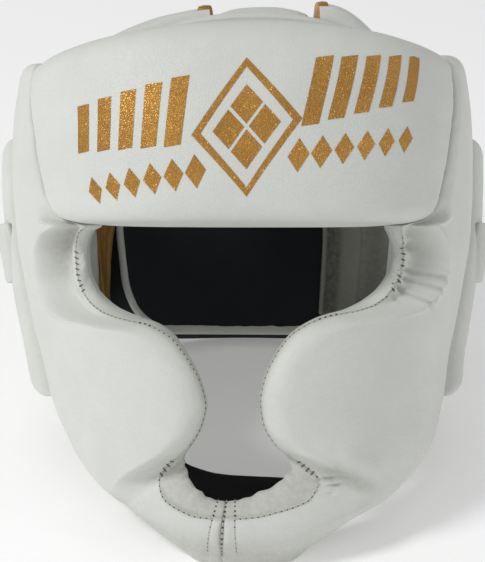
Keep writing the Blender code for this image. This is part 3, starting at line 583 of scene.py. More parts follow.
def weaveGroup():
    # Crossed yarns for the lining and the webbing.
    group = newGroup(
        "Weave",
        [("Yarns", "Float", 900.0), ("Depth", "Float", 0.6)],
        [("Normal", "Vector"), ("Height", "Float")],
    )
    start, end = group.nodes.new("NodeGroupInput"), group.nodes.new("NodeGroupOutput")
    place = addNode(group, "TexCoord")
    waves = []
    for direction in ("X", "Z"):
        wave = addNode(group, "TexWave", {"Distortion": 0.6, "Detail": 1.0, "Detail Scale": 2.0},
                       wave_type="BANDS", bands_direction=direction)
        chain(group, (place.outputs["Object"], wave.inputs["Vector"]),
              (start.outputs["Yarns"], wave.inputs["Scale"]))
        waves.append(wave)
    both = addNode(group, "Math", operation="MULTIPLY")
    fuzz = addNode(group, "TexNoise", {"Scale": 3000.0, "Detail": 2.0})
    mixed = addNode(group, "Math", {1: 0.5}, operation="MULTIPLY_ADD")
    relief = addNode(group, "Bump", {"Distance": 0.0005})
    chain(
        group,
        (waves[0].outputs["Fac"], both.inputs[0]),
        (waves[1].outputs["Fac"], both.inputs[1]),
        (place.outputs["Object"], fuzz.inputs["Vector"]),
        (fuzz.outputs["Fac"], mixed.inputs[0]),
        (both.outputs["Value"], mixed.inputs[2]),
        (mixed.outputs["Value"], relief.inputs["Height"]),
        (start.outputs["Depth"], relief.inputs["Strength"]),
        (relief.outputs["Normal"], end.inputs["Normal"]),
        (mixed.outputs["Value"], end.inputs["Height"]),
    )
    return group


def newMaterial(name, colour, roughness, metallic=0.0, **sockets):
    material = bpy.data.materials.new(name)
    material.use_nodes = True
    tree = material.node_tree
    shader = tree.nodes["Principled BSDF"]
    shader.inputs["Base Color"].default_value = (*colour, 1)
    shader.inputs["Roughness"].default_value = roughness
    shader.inputs["Metallic"].default_value = metallic
    for key, value in sockets.items():
        shader.inputs[key.replace("_", " ")].default_value = value
    return material, tree, shader


def useGroup(tree, group, **values):
    node = tree.nodes.new("ShaderNodeGroup")
    node.node_tree = group
    for key, value in values.items():
        node.inputs[key.replace("_", " ")].default_value = value
    return node


def leather(name, colour, dirtAndShadeColour, roughness=0.48, cell=0.0011, depth=0.35, metallic=0.0, drift=0.03,
                shadeAndDirtAmount=0.55, **sockets):
    material, tree, shader = newMaterial(name, colour, roughness, metallic, **sockets)
    grain = useGroup(tree, groups["grain"], Cell_size=cell, Depth=depth)
    wear = useGroup(tree, groups["wear"], Amount=shadeAndDirtAmount)
    tone = addNode(tree, "MapRange", {"From Min": 0.3, "From Max": 0.7, "To Min": 1 - drift, "To Max": 1 + drift})
    light = addNode(tree, "MixRGB", {0: 1.0, 1: (*colour, 1)}, blend_type="MULTIPLY")
    # Seam dirt and painted shade: the stored shade mixes the dark colour into the base colour.
    dirtAndShadeMix = addNode(tree, "MixRGB", {2: (*dirtAndShadeColour, 1)})
    gloss = addNode(tree, "MapRange", {"To Min": roughness + 0.10, "To Max": roughness - 0.04})
    chain(
        tree,
        (grain.outputs["Drift"], tone.inputs["Value"]),
        (tone.outputs["Result"], light.inputs[2]),
        (light.outputs["Color"], dirtAndShadeMix.inputs[1]),
        (wear.outputs["Mask"], dirtAndShadeMix.inputs[0]),
        (dirtAndShadeMix.outputs["Color"], shader.inputs["Base Color"]),
        (grain.outputs["Pores"], gloss.inputs["Value"]),
        (gloss.outputs["Result"], shader.inputs["Roughness"]),
        (grain.outputs["Normal"], shader.inputs["Normal"]),
    )
    return material


def fabric(name, colour, high, yarns, depth=0.6, roughness=0.85, **sockets):
    material, tree, shader = newMaterial(name, colour, roughness, **sockets)
    weave = useGroup(tree, groups["weave"], Yarns=yarns, Depth=depth)
    tint = addNode(tree, "MixRGB", {1: (*colour, 1), 2: (*high, 1)})
    chain(
        tree,
        (weave.outputs["Height"], tint.inputs[0]),
        (tint.outputs["Color"], shader.inputs["Base Color"]),
        (weave.outputs["Normal"], shader.inputs["Normal"]),
    )
    return material


groups = {"grain": grainGroup(), "wear": dirtAndShadeGroup(), "weave": weaveGroup()}
materials = {
    # The third colour is the dark colour for seam dirt and painted shade, mixed in where the mesh stores shade.
    "white": leather("white leather", (0.72, 0.735, 0.70), (0.30, 0.30, 0.24)),
    "inner": leather("inner leather", (0.60, 0.61, 0.575), (0.26, 0.26, 0.21), cell=0.0014),
    "grey": leather("grey leather", (0.27, 0.27, 0.24), (0.045, 0.045, 0.036), shadeAndDirtAmount=1.0),
    "tape": leather("binding tape", (0.66, 0.67, 0.64), (0.30, 0.29, 0.24), cell=0.0008),
    "goldTape": leather("gold tape", (0.44, 0.24, 0.055), (0.10, 0.055, 0.012), roughness=0.36,
                        metallic=0.55, drift=0.16),
    "foil": leather("gold foil", (0.56, 0.285, 0.062), (0.26, 0.13, 0.03), roughness=0.36,
                    metallic=0.62, depth=0.8, drift=0.16),
    "lining": fabric("black lining", (0.0035, 0.0045, 0.007), (0.010, 0.012, 0.018), 620.0),
    "webbing": fabric("black webbing", (0.006, 0.006, 0.007), (0.018, 0.018, 0.020), 900.0, depth=1.0),
    "thread": newMaterial("thread", (0.50, 0.49, 0.41), 0.7, Sheen_Weight=0.2)[0],
    # The cross stitches are olive thread, darkened further as painted shade, and the stitch holes are dark discs
    # of painted shade.
    "bar": newMaterial("cross stitch", (0.15, 0.14, 0.09), 0.8)[0],
    "hole": newMaterial("stitch hole", (0.055, 0.048, 0.026), 0.9)[0],
}
print("materials made")


# Gold tape on the rear edge of the left ear panel, inside the guard

earTape = {
    "low": 0.1175,
    "high": 0.205,
    "thickness": 0.0013,
    "lowAngles": (118.2, 124.9),
    "highAngles": (128.9, 138.6),
    "cadWidth": 0.0095,
    "cadStart": 124.5,
}


def cadTapePoints(rows, across, lift=0.0):
    # Where the solid tape lies before it is leaned back.
    middleRadius = (guard["halfWidth"] + guard["backReach"]) / 2 - 0.022
    start = earTape["cadStart"] + math.degrees((guard["lapGap"] + 0.0005) / middleRadius)
    turned = math.degrees(earTape["cadWidth"] / middleRadius)
    depth = 0.028 - 0.38 * 0.0095 - 0.004 - 2 * earTape["thickness"]
    heights = earTape["low"] + (earTape["high"] - earTape["low"]) * even(rows)[:, None]
    return onShell(-(start + turned * across[None, :]), heights, depth + lift)


tapeSample = np.concatenate([
    cadTapePoints(9, even(3)).reshape(-1, 3),
    cadTapePoints(9, even(3), 1.6 * earTape["thickness"]).reshape(-1, 3),
]) @ turn.T
tapeBox = np.array(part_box("ear_binding_left"))
restShift = (tapeBox.sum(axis=0) - tapeSample.min(axis=0) - tapeSample.max(axis=0)) / 2
restShift[2] = tapeBox[1][2] - tapeSample[:, 2].max()
print("rest shift", restShift.round(5))


def tapeSections(surface, rows, width, thickness, bulge=0.35):
    # Rounded tape on a surface: surface(row share, across share, lift).
    t = even(13)
    r = even(rows)[:, None]
    crown = 1 - (2 * t - 1) ** 4
    top = surface(r, t[None, :], (thickness * (1 - bulge + bulge * crown))[None, :])
    under = surface(r, t[::-1][None, :], np.full((1, 13), -0.0004))
    return np.concatenate([top, under], axis=1)


def earTapeSurface(r, t, lift):
    low, high = earTape["lowAngles"], earTape["highAngles"]
    angle = (low[0] + (low[1] - low[0]) * t) * (1 - r) + (high[0] + (high[1] - high[0]) * t) * r
    height = earTape["low"] + (earTape["high"] - earTape["low"]) * r
    depth = 0.0247 - 0.0030 * smooth((angle - 120) / 6)
    groove = 0.0007 * bump(t - 0.72, 0.07)
    ripple = 0.0002 * np.sin(height * 420) * bump(t - 0.5, 0.4)
    return onShell(-angle, height, depth + lift - groove + ripple)


stripPiece("ear_tape_left", tapeSections(earTapeSurface, 60, 0.0095, 0.0014),
           materials["goldTape"], "ear_binding_left")


# Forehead pad

forehead = {
    "thickness": 0.030,
    "bottom": 0.1675,
    "fall": 0.016,
    "tilt": 0.0022,
    "brow": (0.0085, 0.012, 0.0, 0.002),
    "top": (0.013, 0.017, 0.0, 0.002),
    "seamDrop": 0.005,
    "seamRun": 0.007,
    "unevenness": 0.00045,
    "fill": 0.9,
}


def foreheadTop(u):
    return guard["height"] - forehead["fall"] * u * u + forehead["tilt"] * u


def seamHeight(rise, side):
    return forehead["bottom"] + rise * (foreheadTop(side) - forehead["bottom"])


def foreheadPlace(s, v, depth):
    u = 2 * s - 1
    height = forehead["bottom"] + v * (foreheadTop(u) - forehead["bottom"])
    return onShell(u * seam["angle"](v), height, depth)


def foreheadDepth(s, v):
    # Depth of the outer face, rounded at its four edges.
    width = foreheadWidth(s)
    end = np.minimum(s, 1 - s) * foreheadLength
    edges = sink(v * width, *forehead["brow"][:3]) + sink((1 - v) * width, *forehead["top"][:3])
    return np.hypot(edges, sink(end, forehead["seamDrop"], forehead["seamRun"]))


def foreheadWidth(s):
    return foreheadTop(2 * s - 1) - forehead["bottom"] + 0.0015


foreheadLength = float(pathLength(foreheadPlace(even(60), 0.5, 0.0)))


def foreheadRelief(s, v, d, width, points):
    end = np.minimum(s, 1 - s) * foreheadLength
    soft = forehead["unevenness"] * (noise(points, 0.034, 1) + 0.45 * noise(points, 0.015, 2))
    pucker = 0.00032 * noise(points, 0.0046, 3) * (bump(end, 0.009) + 0.6 * bump(d, 0.007))
    return soft + pucker


def makeForehead():
    stations = clustered(int(170 * detail), 0.5)
    u = 2 * stations - 1
    end = np.minimum(stations, 1 - stations) * foreheadLength
    lip = forehead["brow"][3] * (1 - u ** 8)
    padPiece(
        "forehead", foreheadPlace, stations, forehead["thickness"] * (1 - 0.16 * u * u),
        (*forehead["brow"][:3], lip), forehead["top"],
        sink(end, forehead["seamDrop"], forehead["seamRun"]),
        materials["white"], "forehead_pad", columns=74, relief=foreheadRelief,
    )


makeForehead()
print("forehead made")


# Cheek and chin pads, from the temple (0) down to the chin seam (1)

cheek = {
    "thickness": 0.030,
    "seamEnd": 0.30,
    "chinStart": 0.86,
    "rear": (0.010, 0.014, 0.0, 0.0005, 1.0),
    "jaw": (0.011, 0.015, 0.0, 0.003, 1.0),
    "chin": (0.0065, 0.0135, 0.0, 0.006, 0.62),
    "templeDrop": 0.006,
    "templeRun": 0.012,
    "chinSeamDrop": 0.0012,
    "chinSeamRun": 0.0026,
    "unevenness": 0.0005,
    "stitchInset": 0.0006,
    "undercut": 0.0048,
    "recess": 0.0056,
    "ridge": 0.0026,
    "openSeam": 0.0001,
    "fill": 0.85,
}

# Angles from the front, heights and rises as shares of the guard's height, and the rest as
# shares of the pad's thickness. Face is the edge round the eye and the mouth.
cheekTable = {
    "at": (0, .15, .25, .3, .34, .38, .42, .46, .5, .54, .58, .62, .66, .7, .74, .78, .82, .86,
           .89, .92, .95, .975, 1),
    "rearAngle": (89.5, 91.5, 91.3, 91, 90.6, 90, 89.3, 88.3, 87, 85, 82.4, 79, 75, 70, 64.6,
                  58.5, 51.5, 44, 37, 29, 19, 9.5, 0),
    "rearHeight": (.94, .785, .677, .618, .588, .551, .514, .474, .43, .384, .34, .297, .26,
                   .225, .194, .163, .134, .104, .082, .056, .023, .006, .005),
    "faceAngle": (62.5, 56, 49, 40.3, 42.6, 45, 45.3, 43, 36.4, 28.5, 21.9, 15.2, 10.2, 7.5,
                  6.4, 7.4, 11, 17.8, 21.2, 19, 11.8, 6.4, 0),
    "faceHeight": (.94, .785, .65, .612, .595, .558, .521, .485, .455, .442, .434, .412, .367,
                   .325, .284, .246, .204, .168, .14, .111, .089, .08, .077),
    "shift": (0, 0, 0, 0, 1.4, 1.9, 2.4, 2.8, 1.9, 1.2, 2.2, 3.2, 3.6, 3.6, 3.6, 4.2, 4.7, 4.5,
              3.7, 4, 5.2, 6, 6.4),
    "rise": (0, 0, 0, 0, 0, 0, .002, .005, .009, .009, .008, .005, .002, 0, 0, 0, 0, 0, 0, 0, 0,
             0, 0),
    "thickness": (.8, .82, .84, .84, .82, .81, .82, .86, .92, .98, 1.03, 1.05, 1.06, 1.06, 1.06,
                  1.05, 1.03, 1, .97, .95, .93, .93, .93),
    "drop": (.16, .16, .2, .34, .4, .44, .44, .44, .42, .4, .4, .4, .4, .4, .4, .4, .4, .42, .36,
             .26, .18, .15, .14),
    "run": (.23, .23, .28, .5, .66, .76, .8, .8, .76, .62, .52, .48, .48, .48, .48, .5, .62,
            1.25, 1.15, .6, .32, .25, .23),
    "scoop": (0, 0, .2, .6, 1, 1, 1, 1, .9, .6, .3, 0, 0, 0, 0, 0, .3, 1, 1, .6, .2, 0, 0),
    "lip": (0, 0, 0, 0, .03, .05, .06, .07, .07, .06, .04, .02, .02, .02, .02, .02, .03, .24,
            .52, .52, .36, .25, .2),
}
cheekRow = curves(cheekTable)
chinRows = slice(-6, None)
jawShare = curve(cheekTable["rearAngle"][chinRows][::-1], cheekTable["rearHeight"][chinRows][::-1])
cheekRearAngle = curve(cheekTable["rearHeight"][::-1], cheekTable["rearAngle"][::-1])


def cheekSpot(at, v, side):
    height = guard["height"]
    rearAngle = cheekRow["rearAngle"](at)
    rearHeight = cheekRow["rearHeight"](at) * height
    rearHeight = rearHeight + (side + 1) * forehead["tilt"] * smooth(1 - 4 * at)
    shift = side * cheekRow["shift"](at)
    rise = np.clip(1 - at / cheek["seamEnd"], 0, 1)
    upper = at < cheek["seamEnd"]
    seamAngle = seam["angle"](rise) + math.degrees(guard["seamGap"] / guard["halfWidth"])
    faceAngle = np.where(upper, seamAngle, cheekRow["faceAngle"](at) - shift)
    faceHeight = (cheekRow["faceHeight"](at) + side * cheekRow["rise"](at)) * height
    faceHeight = np.where(upper, seamHeight(rise, side) - guard["seamGap"], faceHeight)
    chin = smooth((at - cheek["chinStart"]) / (1 - cheek["chinStart"]))
    rearAngle = rearAngle - np.where(at > cheek["chinStart"], shift * chin, 0)
    jaw = jawShare(np.abs(rearAngle)) * height
    rearHeight = np.where(at > cheek["chinStart"], jaw, rearHeight)
    gap = math.degrees(0.5 * cheek["openSeam"] / guard["frontReach"]) * smooth((at - 0.97) / 0.03)
    return rearAngle + v * (faceAngle - rearAngle) + gap, rearHeight + v * (faceHeight - rearHeight)


def cheekPlace(at, v, depth, side):
    angle, height = cheekSpot(at, v, side)
    return onShell(side * angle, height, depth)


def cheekEdges(at):
    jaw = smooth((at - 0.58) / 0.12)
    chin = smooth((at - 0.80) / 0.15)
    low = []
    for rear, below, front in zip(cheek["rear"], cheek["jaw"], cheek["chin"]):
        value = rear + (below - rear) * jaw
        low.append(value + (front - value) * chin)
    thickness = cheek["thickness"]
    high = [
        cheekRow["drop"](at) * thickness, cheekRow["run"](at) * thickness,
        cheekRow["scoop"](at), cheekRow["lip"](at) * thickness,
    ]
    return low, high


# Creases in the leather: where they start and end on the shell, how deep and how wide.
creaseTable = [
    {"side": -1, "start": (-19.5, 0.0475), "end": (-36.0, 0.0325), "depth": 0.0042, "width": 0.0044},
    {"side": -1, "start": (-24.0, 0.0300), "end": (-33.0, 0.0420), "depth": 0.0010, "width": 0.0030},
    {"side": -1, "start": (-40.5, 0.1395), "end": (-47.5, 0.1340), "depth": 0.0009, "width": 0.0018},
    {"side": 1, "start": (38.3, 0.1450), "end": (56.0, 0.1395), "depth": 0.0019, "width": 0.0012},
    {"side": 1, "start": (38.0, 0.1432), "end": (54.0, 0.1330), "depth": 0.0017, "width": 0.0011},
    {"side": 1, "start": (38.0, 0.1412), "end": (50.0, 0.1240), "depth": 0.0021, "width": 0.0012},
    {"side": 1, "start": (36.8, 0.1370), "end": (42.5, 0.1260), "depth": 0.0010, "width": 0.0014},
    {"side": 1, "start": (38.9, 0.1530), "end": (48.5, 0.1560), "depth": 0.0022, "width": 0.0022},
    {"side": 1, "start": (15.3, 0.0372), "end": (23.5, 0.0392), "depth": 0.0018, "width": 0.0012},
    {"side": 1, "start": (15.4, 0.0348), "end": (25.0, 0.0355), "depth": 0.0019, "width": 0.0012},
    {"side": 1, "start": (15.5, 0.0325), "end": (22.5, 0.0315), "depth": 0.0014, "width": 0.0012},
    {"side": 1, "start": (17.0, 0.0470), "end": (33.0, 0.0330), "depth": 0.0026, "width": 0.0048},
]


def creases(angle, height, side):
    depth = 0
    for crease in creaseTable:
        if crease["side"] != side:
            continue
        start, end = np.array(crease["start"]), np.array(crease["end"])
        scale = np.array([math.radians(0.118), 1.0])
        spot = np.stack(np.broadcast_arrays(angle, height), axis=-1) * scale
        a, b = start * scale, end * scale
        along = np.clip(((spot - a) @ (b - a)) / ((b - a) @ (b - a)), 0, 1)
        away = np.linalg.norm(spot - a - along[..., None] * (b - a), axis=-1)
        fade = smooth(4 * along) * smooth(4 * (1 - along))
        valley = bump(away, crease["width"]) - 0.45 * bump(away - 2 * crease["width"], 1.1 * crease["width"])
        depth = depth + crease["depth"] * valley * (0.08 + 0.92 * fade)
    return depth


def cheekRelief(side):
    def relief(s, v, d, width, points):
        angle, height = cheekSpot(s, v, side)
        fromFace = width - d
        soft = cheek["unevenness"] * (noise(points, 0.036, 4) + 0.4 * noise(points, 0.014, 6))
        near = bump(np.minimum(d, fromFace), 0.008)
        pucker = 0.0003 * noise(points, 0.0044, 7) * near
        lobe = smooth((s - 0.50) / 0.06) * smooth((0.80 - s) / 0.03)
        groove = 0.00055 * bump(fromFace - cheek["stitchInset"], 0.0009) * lobe
        chinSeam = 0.0005 * bump((1 - s) * 0.33 - 0.0034, 0.0008) * smooth((s - 0.9) / 0.05)
        chinSeam = chinSeam - 0.0004 * bump((1 - s) * 0.33 - 0.0017, 0.0010)
        # The recess round the eye corner, below a soft ridge.
        corner = smooth((s - 0.262) / 0.05) * smooth((0.55 - s) / 0.09)
        reach = cheekRow["run"](s) * cheek["thickness"]
        recess = cheek["recess"] * bump(fromFace - 0.44 * reach, 0.22 * reach)
        recess = (recess - cheek["ridge"] * bump(fromFace - 0.86 * reach, 0.0055)) * corner
        wrinkles = creases(angle, height, side) * (0.3 + 0.7 * smooth((fromFace - 0.002) / 0.006))
        return soft + pucker + groove + chinSeam + recess + wrinkles

    return relief


def cheekPaintedShade(side):
    # Painted shade: darker in the recess, in the creases and under the chin bar, where shade falls.
    def paintedShadeAt(s, v, d, width):
        fromFace = width - d
        corner = smooth((s - 0.28) / 0.05) * smooth((0.47 - s) / 0.10)
        reach = cheekRow["run"](s) * cheek["thickness"]
        recess = (0.95 - 0.25 * side) * bump(fromFace - 0.44 * reach, 0.19 * reach) * corner
        crease = np.maximum(0, creases(*cheekSpot(s, v, side), side)) / 0.0026
        under = smooth(1 - d / 0.016) * smooth((s - 0.83) / 0.04)
        return np.maximum(recess, np.maximum(0.75 * np.minimum(crease, 1), 0.72 * under))

    return paintedShadeAt


def liningFolds(s, w, spread, depth, width):
    # Gathers in the lining round the mouth's lower edge, and slack in it at the eyes.
    notch = smooth((s - 0.86) / 0.04) * smooth((0.995 - s) / 0.012)
    eye = smooth((s - 0.33) / 0.03) * smooth((0.50 - s) / 0.05)
    wide = np.sin(s * 118 + 1.1) * 0.6 + np.sin(s * 211 + 2.3 * np.sin(s * 47)) * 0.4
    slack = np.sin(s * 95 + 0.6) * 0.7 + np.sin(s * 53) * 0.3
    folds = (0.0011 * notch * wide + 0.0010 * eye * slack) * np.sin(np.pi * w) ** 1.5
    crumple = 0.0002 * (notch + 0.5 * eye) * np.sin(s * 330 + 9 * w) * np.sin(np.pi * w)
    return spread + (folds + crumple) / width, depth


def makeCheek(side, name):
    stations = even(int(340 * detail))
    length = float(pathLength(cheekPlace(even(81), 0.5, 0.0, side)))
    low, high = cheekEdges(stations)
    fromChin = (1 - stations) * length
    ends = sink(stations * length, cheek["templeDrop"], cheek["templeRun"])
    ends = ends + sink(fromChin, cheek["chinSeamDrop"], cheek["chinSeamRun"])
    lobe = smooth((stations - 0.48) / 0.08) * smooth((0.875 - stations) / 0.05)
    padPiece(
        "cheek_" + name, lambda s, v, depth: cheekPlace(s, v, depth, side), stations,
        cheekRow["thickness"](stations) * cheek["thickness"], low, high, ends,
        materials["white"], "cheek_pad_" + name, columns=104, wallRows=20,
        relief=cheekRelief(side), wallRelief=liningFolds, undercut=cheek["undercut"] * lobe,
        # Painted shade: in the recess, the creases, under the chin bar and on the walls at the mouth.
        paintedShadeAt=cheekPaintedShade(side),
        wallShade=0.12 + 0.6 * smooth((stations - 0.83) / 0.04),
    )


for side, name in ((-1, "left"), (1, "right")):
    makeCheek(side, name)
print("cheek pads made")


# Ear panels

ear = {
    "thickness": 0.028,
    "stand": 0.0095,
    "bottom": 0.0775,
    "top": 0.217,
    "rearRise": 0.032,
    "rearAngle": 124.5,
    "frontStep": 1.0,
    "edge": (0.010, 0.012, 0.0, 0.001),
    "rearEdge": (0.006, 0.009, 0.0, 0.001),
    "unevenness": 0.0005,
    "fill": 0.75,
}


def earStand(angle):
    return ear["stand"] * (1 - 0.62 * smooth((angle - 106) / (ear["rearAngle"] - 106)))


def earSpot(s, v):
    height = ear["bottom"] + ear["rearRise"] * v * v * (1 - s) + s * (ear["top"] - ear["bottom"])
    front = cheekRearAngle(height / guard["height"]) + ear["frontStep"]
    return front + v * (ear["rearAngle"] - front), height


def earPlace(s, v, depth, side):
    angle, height = earSpot(s, v)
    return onShell(side * angle, height, depth - earStand(angle))


def makeEar(side, name):
    stations = clustered(int(110 * detail), 0.7)
    length = float(pathLength(earPlace(even(41), 0.5, 0.0, side)))
    end = np.minimum(stations, 1 - stations) * length

    def relief(s, v, d, width, points):
        soft = ear["unevenness"] * (noise(points, 0.028, 11) + 0.4 * noise(points, 0.012, 12))
        pucker = 0.0003 * noise(points, 0.0046, 13) * bump(np.minimum(d, width - d), 0.007)
        angle, height = earSpot(s, v)
        pressed = 0.0011 * (bump(height - 0.1385, 0.0025) + bump(height - 0.1725, 0.0025))
        return soft + pucker + pressed * smooth((angle - 95) / 3)

    padPiece(
        "ear_" + name, lambda s, v, depth: earPlace(s, v, depth, side), stations,
        ear["thickness"], ear["edge"], ear["rearEdge"], sink(end, *ear["edge"][:2]),
        materials["white"], "ear_panel_" + name, columns=56, wallRows=9, relief=relief,
    )


for side, name in ((-1, "left"), (1, "right")):
    makeEar(side, name)
print("ear panels made")


# Back pad with its lining and tape

back = {
    "bottom": 0.10461,
    "top": 0.236,
    "thickness": 0.022,
    "halfAngle": 45.8,
    "corner": 0.034,
    "edge": (0.006, 0.009, 0.0, 0.001),
    "tapeWidth": 0.0045,
    "tapeThickness": 0.0016,
    "liningThickness": 0.0014,
    "fill": 0.8,
}
backRadius = guard["backReach"] * 0.97
backHalf = math.radians(back["halfAngle"]) * backRadius


def backCut(w, inset):
    half, corner = backHalf - inset, back["corner"] - inset
    past = np.clip((np.abs(w) * half - (half - corner)) / corner, 0, 1)
    return corner * (1 - np.sqrt(1 - past ** 2))


def backSpot(w, v, inset):
    cut = backCut(w, inset)
    low, high = back["bottom"] + inset + cut, back["top"] - inset - cut
    angle = 180 + w * math.degrees((backHalf - inset) / backRadius)
    return angle, low + v * (high - low)


def backEdgeDistance(angle, height):
    # How far inside the pad's rounded outline a place lies.
    x = np.abs(np.radians(angle - 180)) * backRadius
    middle, reach = (back["top"] + back["bottom"]) / 2, (back["top"] - back["bottom"]) / 2
    dx = x - (backHalf - back["corner"])
    dz = np.abs(height - middle) - (reach - back["corner"])
    outside = np.hypot(np.maximum(dx, 0), np.maximum(dz, 0)) + np.minimum(np.maximum(dx, dz), 0)
    return np.maximum(back["corner"] - outside, 0)


def cornerStations(inset, count):
    half = backHalf - inset
    share = 1 - (back["corner"] - inset) / half
    bend = share + (1 - share) * np.sin(np.radians(np.linspace(4, 90, count)))
    return np.concatenate([-bend[::-1], np.linspace(-share, share, 2 * count), bend])


def makeBack():
    stations = cornerStations(0.0, int(30 * detail))

    def place(w, v, depth):
        return onShell(*backSpot(w, v, 0.0), depth)

    def depthAt(w, v):
        return sink(backEdgeDistance(*backSpot(w, v, 0.0)), *back["edge"][:2])

    def relief(s, v, d, width, points):
        return 0.0006 * noise(points, 0.030, 21) + 0.0002 * noise(points, 0.012, 22)

    padPiece(
        "back_pad_cover", place, stations, back["thickness"], back["edge"], back["edge"], 0.0,
        materials["white"], "back_pad", columns=60, wallRows=8, relief=relief,
        depthAt=depthAt, wallMaterial=materials["lining"],
    )


makeBack()


def makeLining():
    inset = back["tapeWidth"] - 0.0012
    stations = cornerStations(inset, int(24 * detail))[:, None]
    v = even(40)[None, :]
    points = onShell(*backSpot(stations, v, inset), 0.0)
    wave = 0.0005 * noise(points, 0.026, 31)
    depth = back["thickness"] + guard["lapGap"]
    outer = onShell(*backSpot(stations, v, inset), depth + 0 * wave)
    inner = onShell(*backSpot(stations, v[:, ::-1], inset), depth + 0.0011 + wave[:, ::-1])
    rings = np.concatenate([outer, inner], axis=1)
    piece = stripPiece("back_lining_cloth", rings, materials["lining"], "back_lining")
    # Its cut size is the length of its own middle lines, on the face that it lies on.
    across = onShell(*backSpot(np.linspace(-1, 1, 81), 0.5, inset), depth)
    down = onShell(*backSpot(0.0, even(41), inset), depth)
    width, height = (
        float(np.linalg.norm(np.diff(line, axis=0), axis=1).sum()) for line in (across, down)
    )


makeLining()


def backLoop(inset, count=30):
    # The pad's outline at an inset, as angle and height.
    w = cornerStations(inset, count)
    lowAngle, lowHeight = backSpot(w, 0.0, inset)
    highAngle, highHeight = backSpot(w[::-1], 1.0, inset)
    side = even(14)[1:-1]
    rightHeight = lowHeight[-1] + (highHeight[0] - lowHeight[-1]) * side
    leftHeight = highHeight[-1] + (lowHeight[0] - highHeight[-1]) * side
    angle = np.concatenate([
        lowAngle, np.full(12, lowAngle[-1]), highAngle, np.full(12, highAngle[-1]),
    ])
    return angle, np.concatenate([lowHeight, rightHeight, highHeight, leftHeight])


def makeBackTape():
    edge, inside = backLoop(-0.0004), backLoop(back["tapeWidth"])
    turns = np.radians(np.linspace(0, 180, 9))
    low = back["thickness"] - 0.0006
    rings = []
    for turned in turns:
        t = (1 - math.cos(turned)) / 2
        lift = math.sin(turned) ** 0.7 * back["tapeThickness"]
        angle = edge[0] + (inside[0] - edge[0]) * t
        height = edge[1] + (inside[1] - edge[1]) * t
        points = onShell(angle, height, low)
        ripple = 0.00016 * noise(points, 0.004, 41)
        rings.append(onShell(angle, height, low + 0.0012 + lift + ripple))
    rings.append(onShell(*inside, low))
    rings.append(onShell(*edge, low))
    stripPiece("back_tape", np.stack(rings, axis=1), materials["tape"], "back_binding",
               closed=True, shade=0.15)


makeBackTape()
print("back made")


# Rear wings and closure straps

wing = {
    "thickness": 0.003,
    "bottom": 0.110,
    "top": 0.212,
    "lapAngle": 151.0,
    "narrowing": 0.005,
    # Painted shade on the inner wing's folds, by angle.
    "foldAngles": (124, 134.6, 135.3, 142, 144.5, 149, 149.8, 151),
    "foldShades": (0.42, 0.46, 0.18, 0.28, 0.8, 0.95, 0.1, 0.1),
}
strap = {
    "thickness": 0.002,
    "padding": 0.0016,
    "bottom": 0.140,
    "top": 0.171,
    "startAngle": 92.6,
    "overlapAngle": 20.0,
}


def bandRings(angles, low, high, depth, thickness, side, count=22):
    # A curved strip with rounded long edges, by angle.
    angles = angles[:, None]
    low, high, depth, thickness = (
        np.reshape(x, (-1, 1)) for x in (low, high, depth, thickness)
    )
    half = thickness / 2
    t = even(count)[None, :]
    turns = np.radians(np.linspace(90, -90, 7))[None, 1:-1]
    span = high - low - 2 * half
    faceHeight = low + half + span * t
    highHeight, highDepth = high - half + half * np.cos(turns), half - half * np.sin(turns)
    lowHeight, lowDepth = low + half - half * np.cos(turns), half + half * np.sin(turns)
    heights = np.concatenate([faceHeight, highHeight, faceHeight[:, ::-1], lowHeight], axis=1)
    rows = np.broadcast_shapes(depth.shape, thickness.shape, angles.shape)[0]
    lifts = [np.broadcast_to(x, (rows, x.shape[1])) for x in (0 * t, highDepth, 0 * t + thickness, lowDepth)]
    lifts = np.concatenate(lifts, axis=1)
    return onShell(side * angles, heights, depth + lifts)


def makeWing(side, name, inside, material):
    first = ear["rearAngle"] + math.degrees(0.0016 / guard["backReach"])
    angles = np.linspace(first, wing["lapAngle"], int(60 * detail))
    narrow = wing["narrowing"] * smooth((angles - ear["rearAngle"]) / (wing["lapAngle"] - ear["rearAngle"]))
    if inside:
        meets = ear["thickness"] - 0.38 * ear["stand"] - 2.6 * wing["thickness"]
        lapped = back["thickness"] + 3 * guard["lapGap"] + back["liningThickness"]
        bend = smooth((angles - ear["rearAngle"] - 2) / (180 - back["halfAngle"] - 0.5 - ear["rearAngle"] - 2))
        depth = meets + (lapped - meets) * bend
    else:
        depth = np.full(len(angles), -wing["thickness"] - guard["lapGap"])
    rings = bandRings(angles, wing["bottom"] + narrow, wing["top"] - narrow, depth,
                      wing["thickness"], side, 40)
    wave = 0.0007 * noise(rings, 0.022, 51 + side)
    rings = rings + wave[..., None] * unit(rings - shellCentre)
    # Inside, painted shade darkens the folds beside the pad's edge, band by band. The left wing is lined in
    # black.
    folds = np.interp(angles, wing["foldAngles"], wing["foldShades"]) if inside else 0.1
    inward = (materials["lining"], 45, 85) if not inside else None
    piece = stripPiece("wing_" + name, rings, material, "rear_wing_" + name, shade=folds,
                       lined=inward)

    def surface(a, b):
        level = np.interp(a, angles, depth)
        return onShell(side * a, b, level - 0.0002 * side if not inside else level)

    for label, place in (("low", 0.05), ("high", 0.95)):
        def path(t, place=place):
            a = np.interp(t, even(len(angles)), angles)
            taper = np.interp(a, angles, narrow)
            low, high = wing["bottom"] + taper, wing["top"] - taper
            return a, low + (high - low) * place
        stitchRow("wing_" + name + "_" + label, surface, path)


makeWing(-1, "left", False, materials["white"])
makeWing(1, "right", True, materials["grey"])


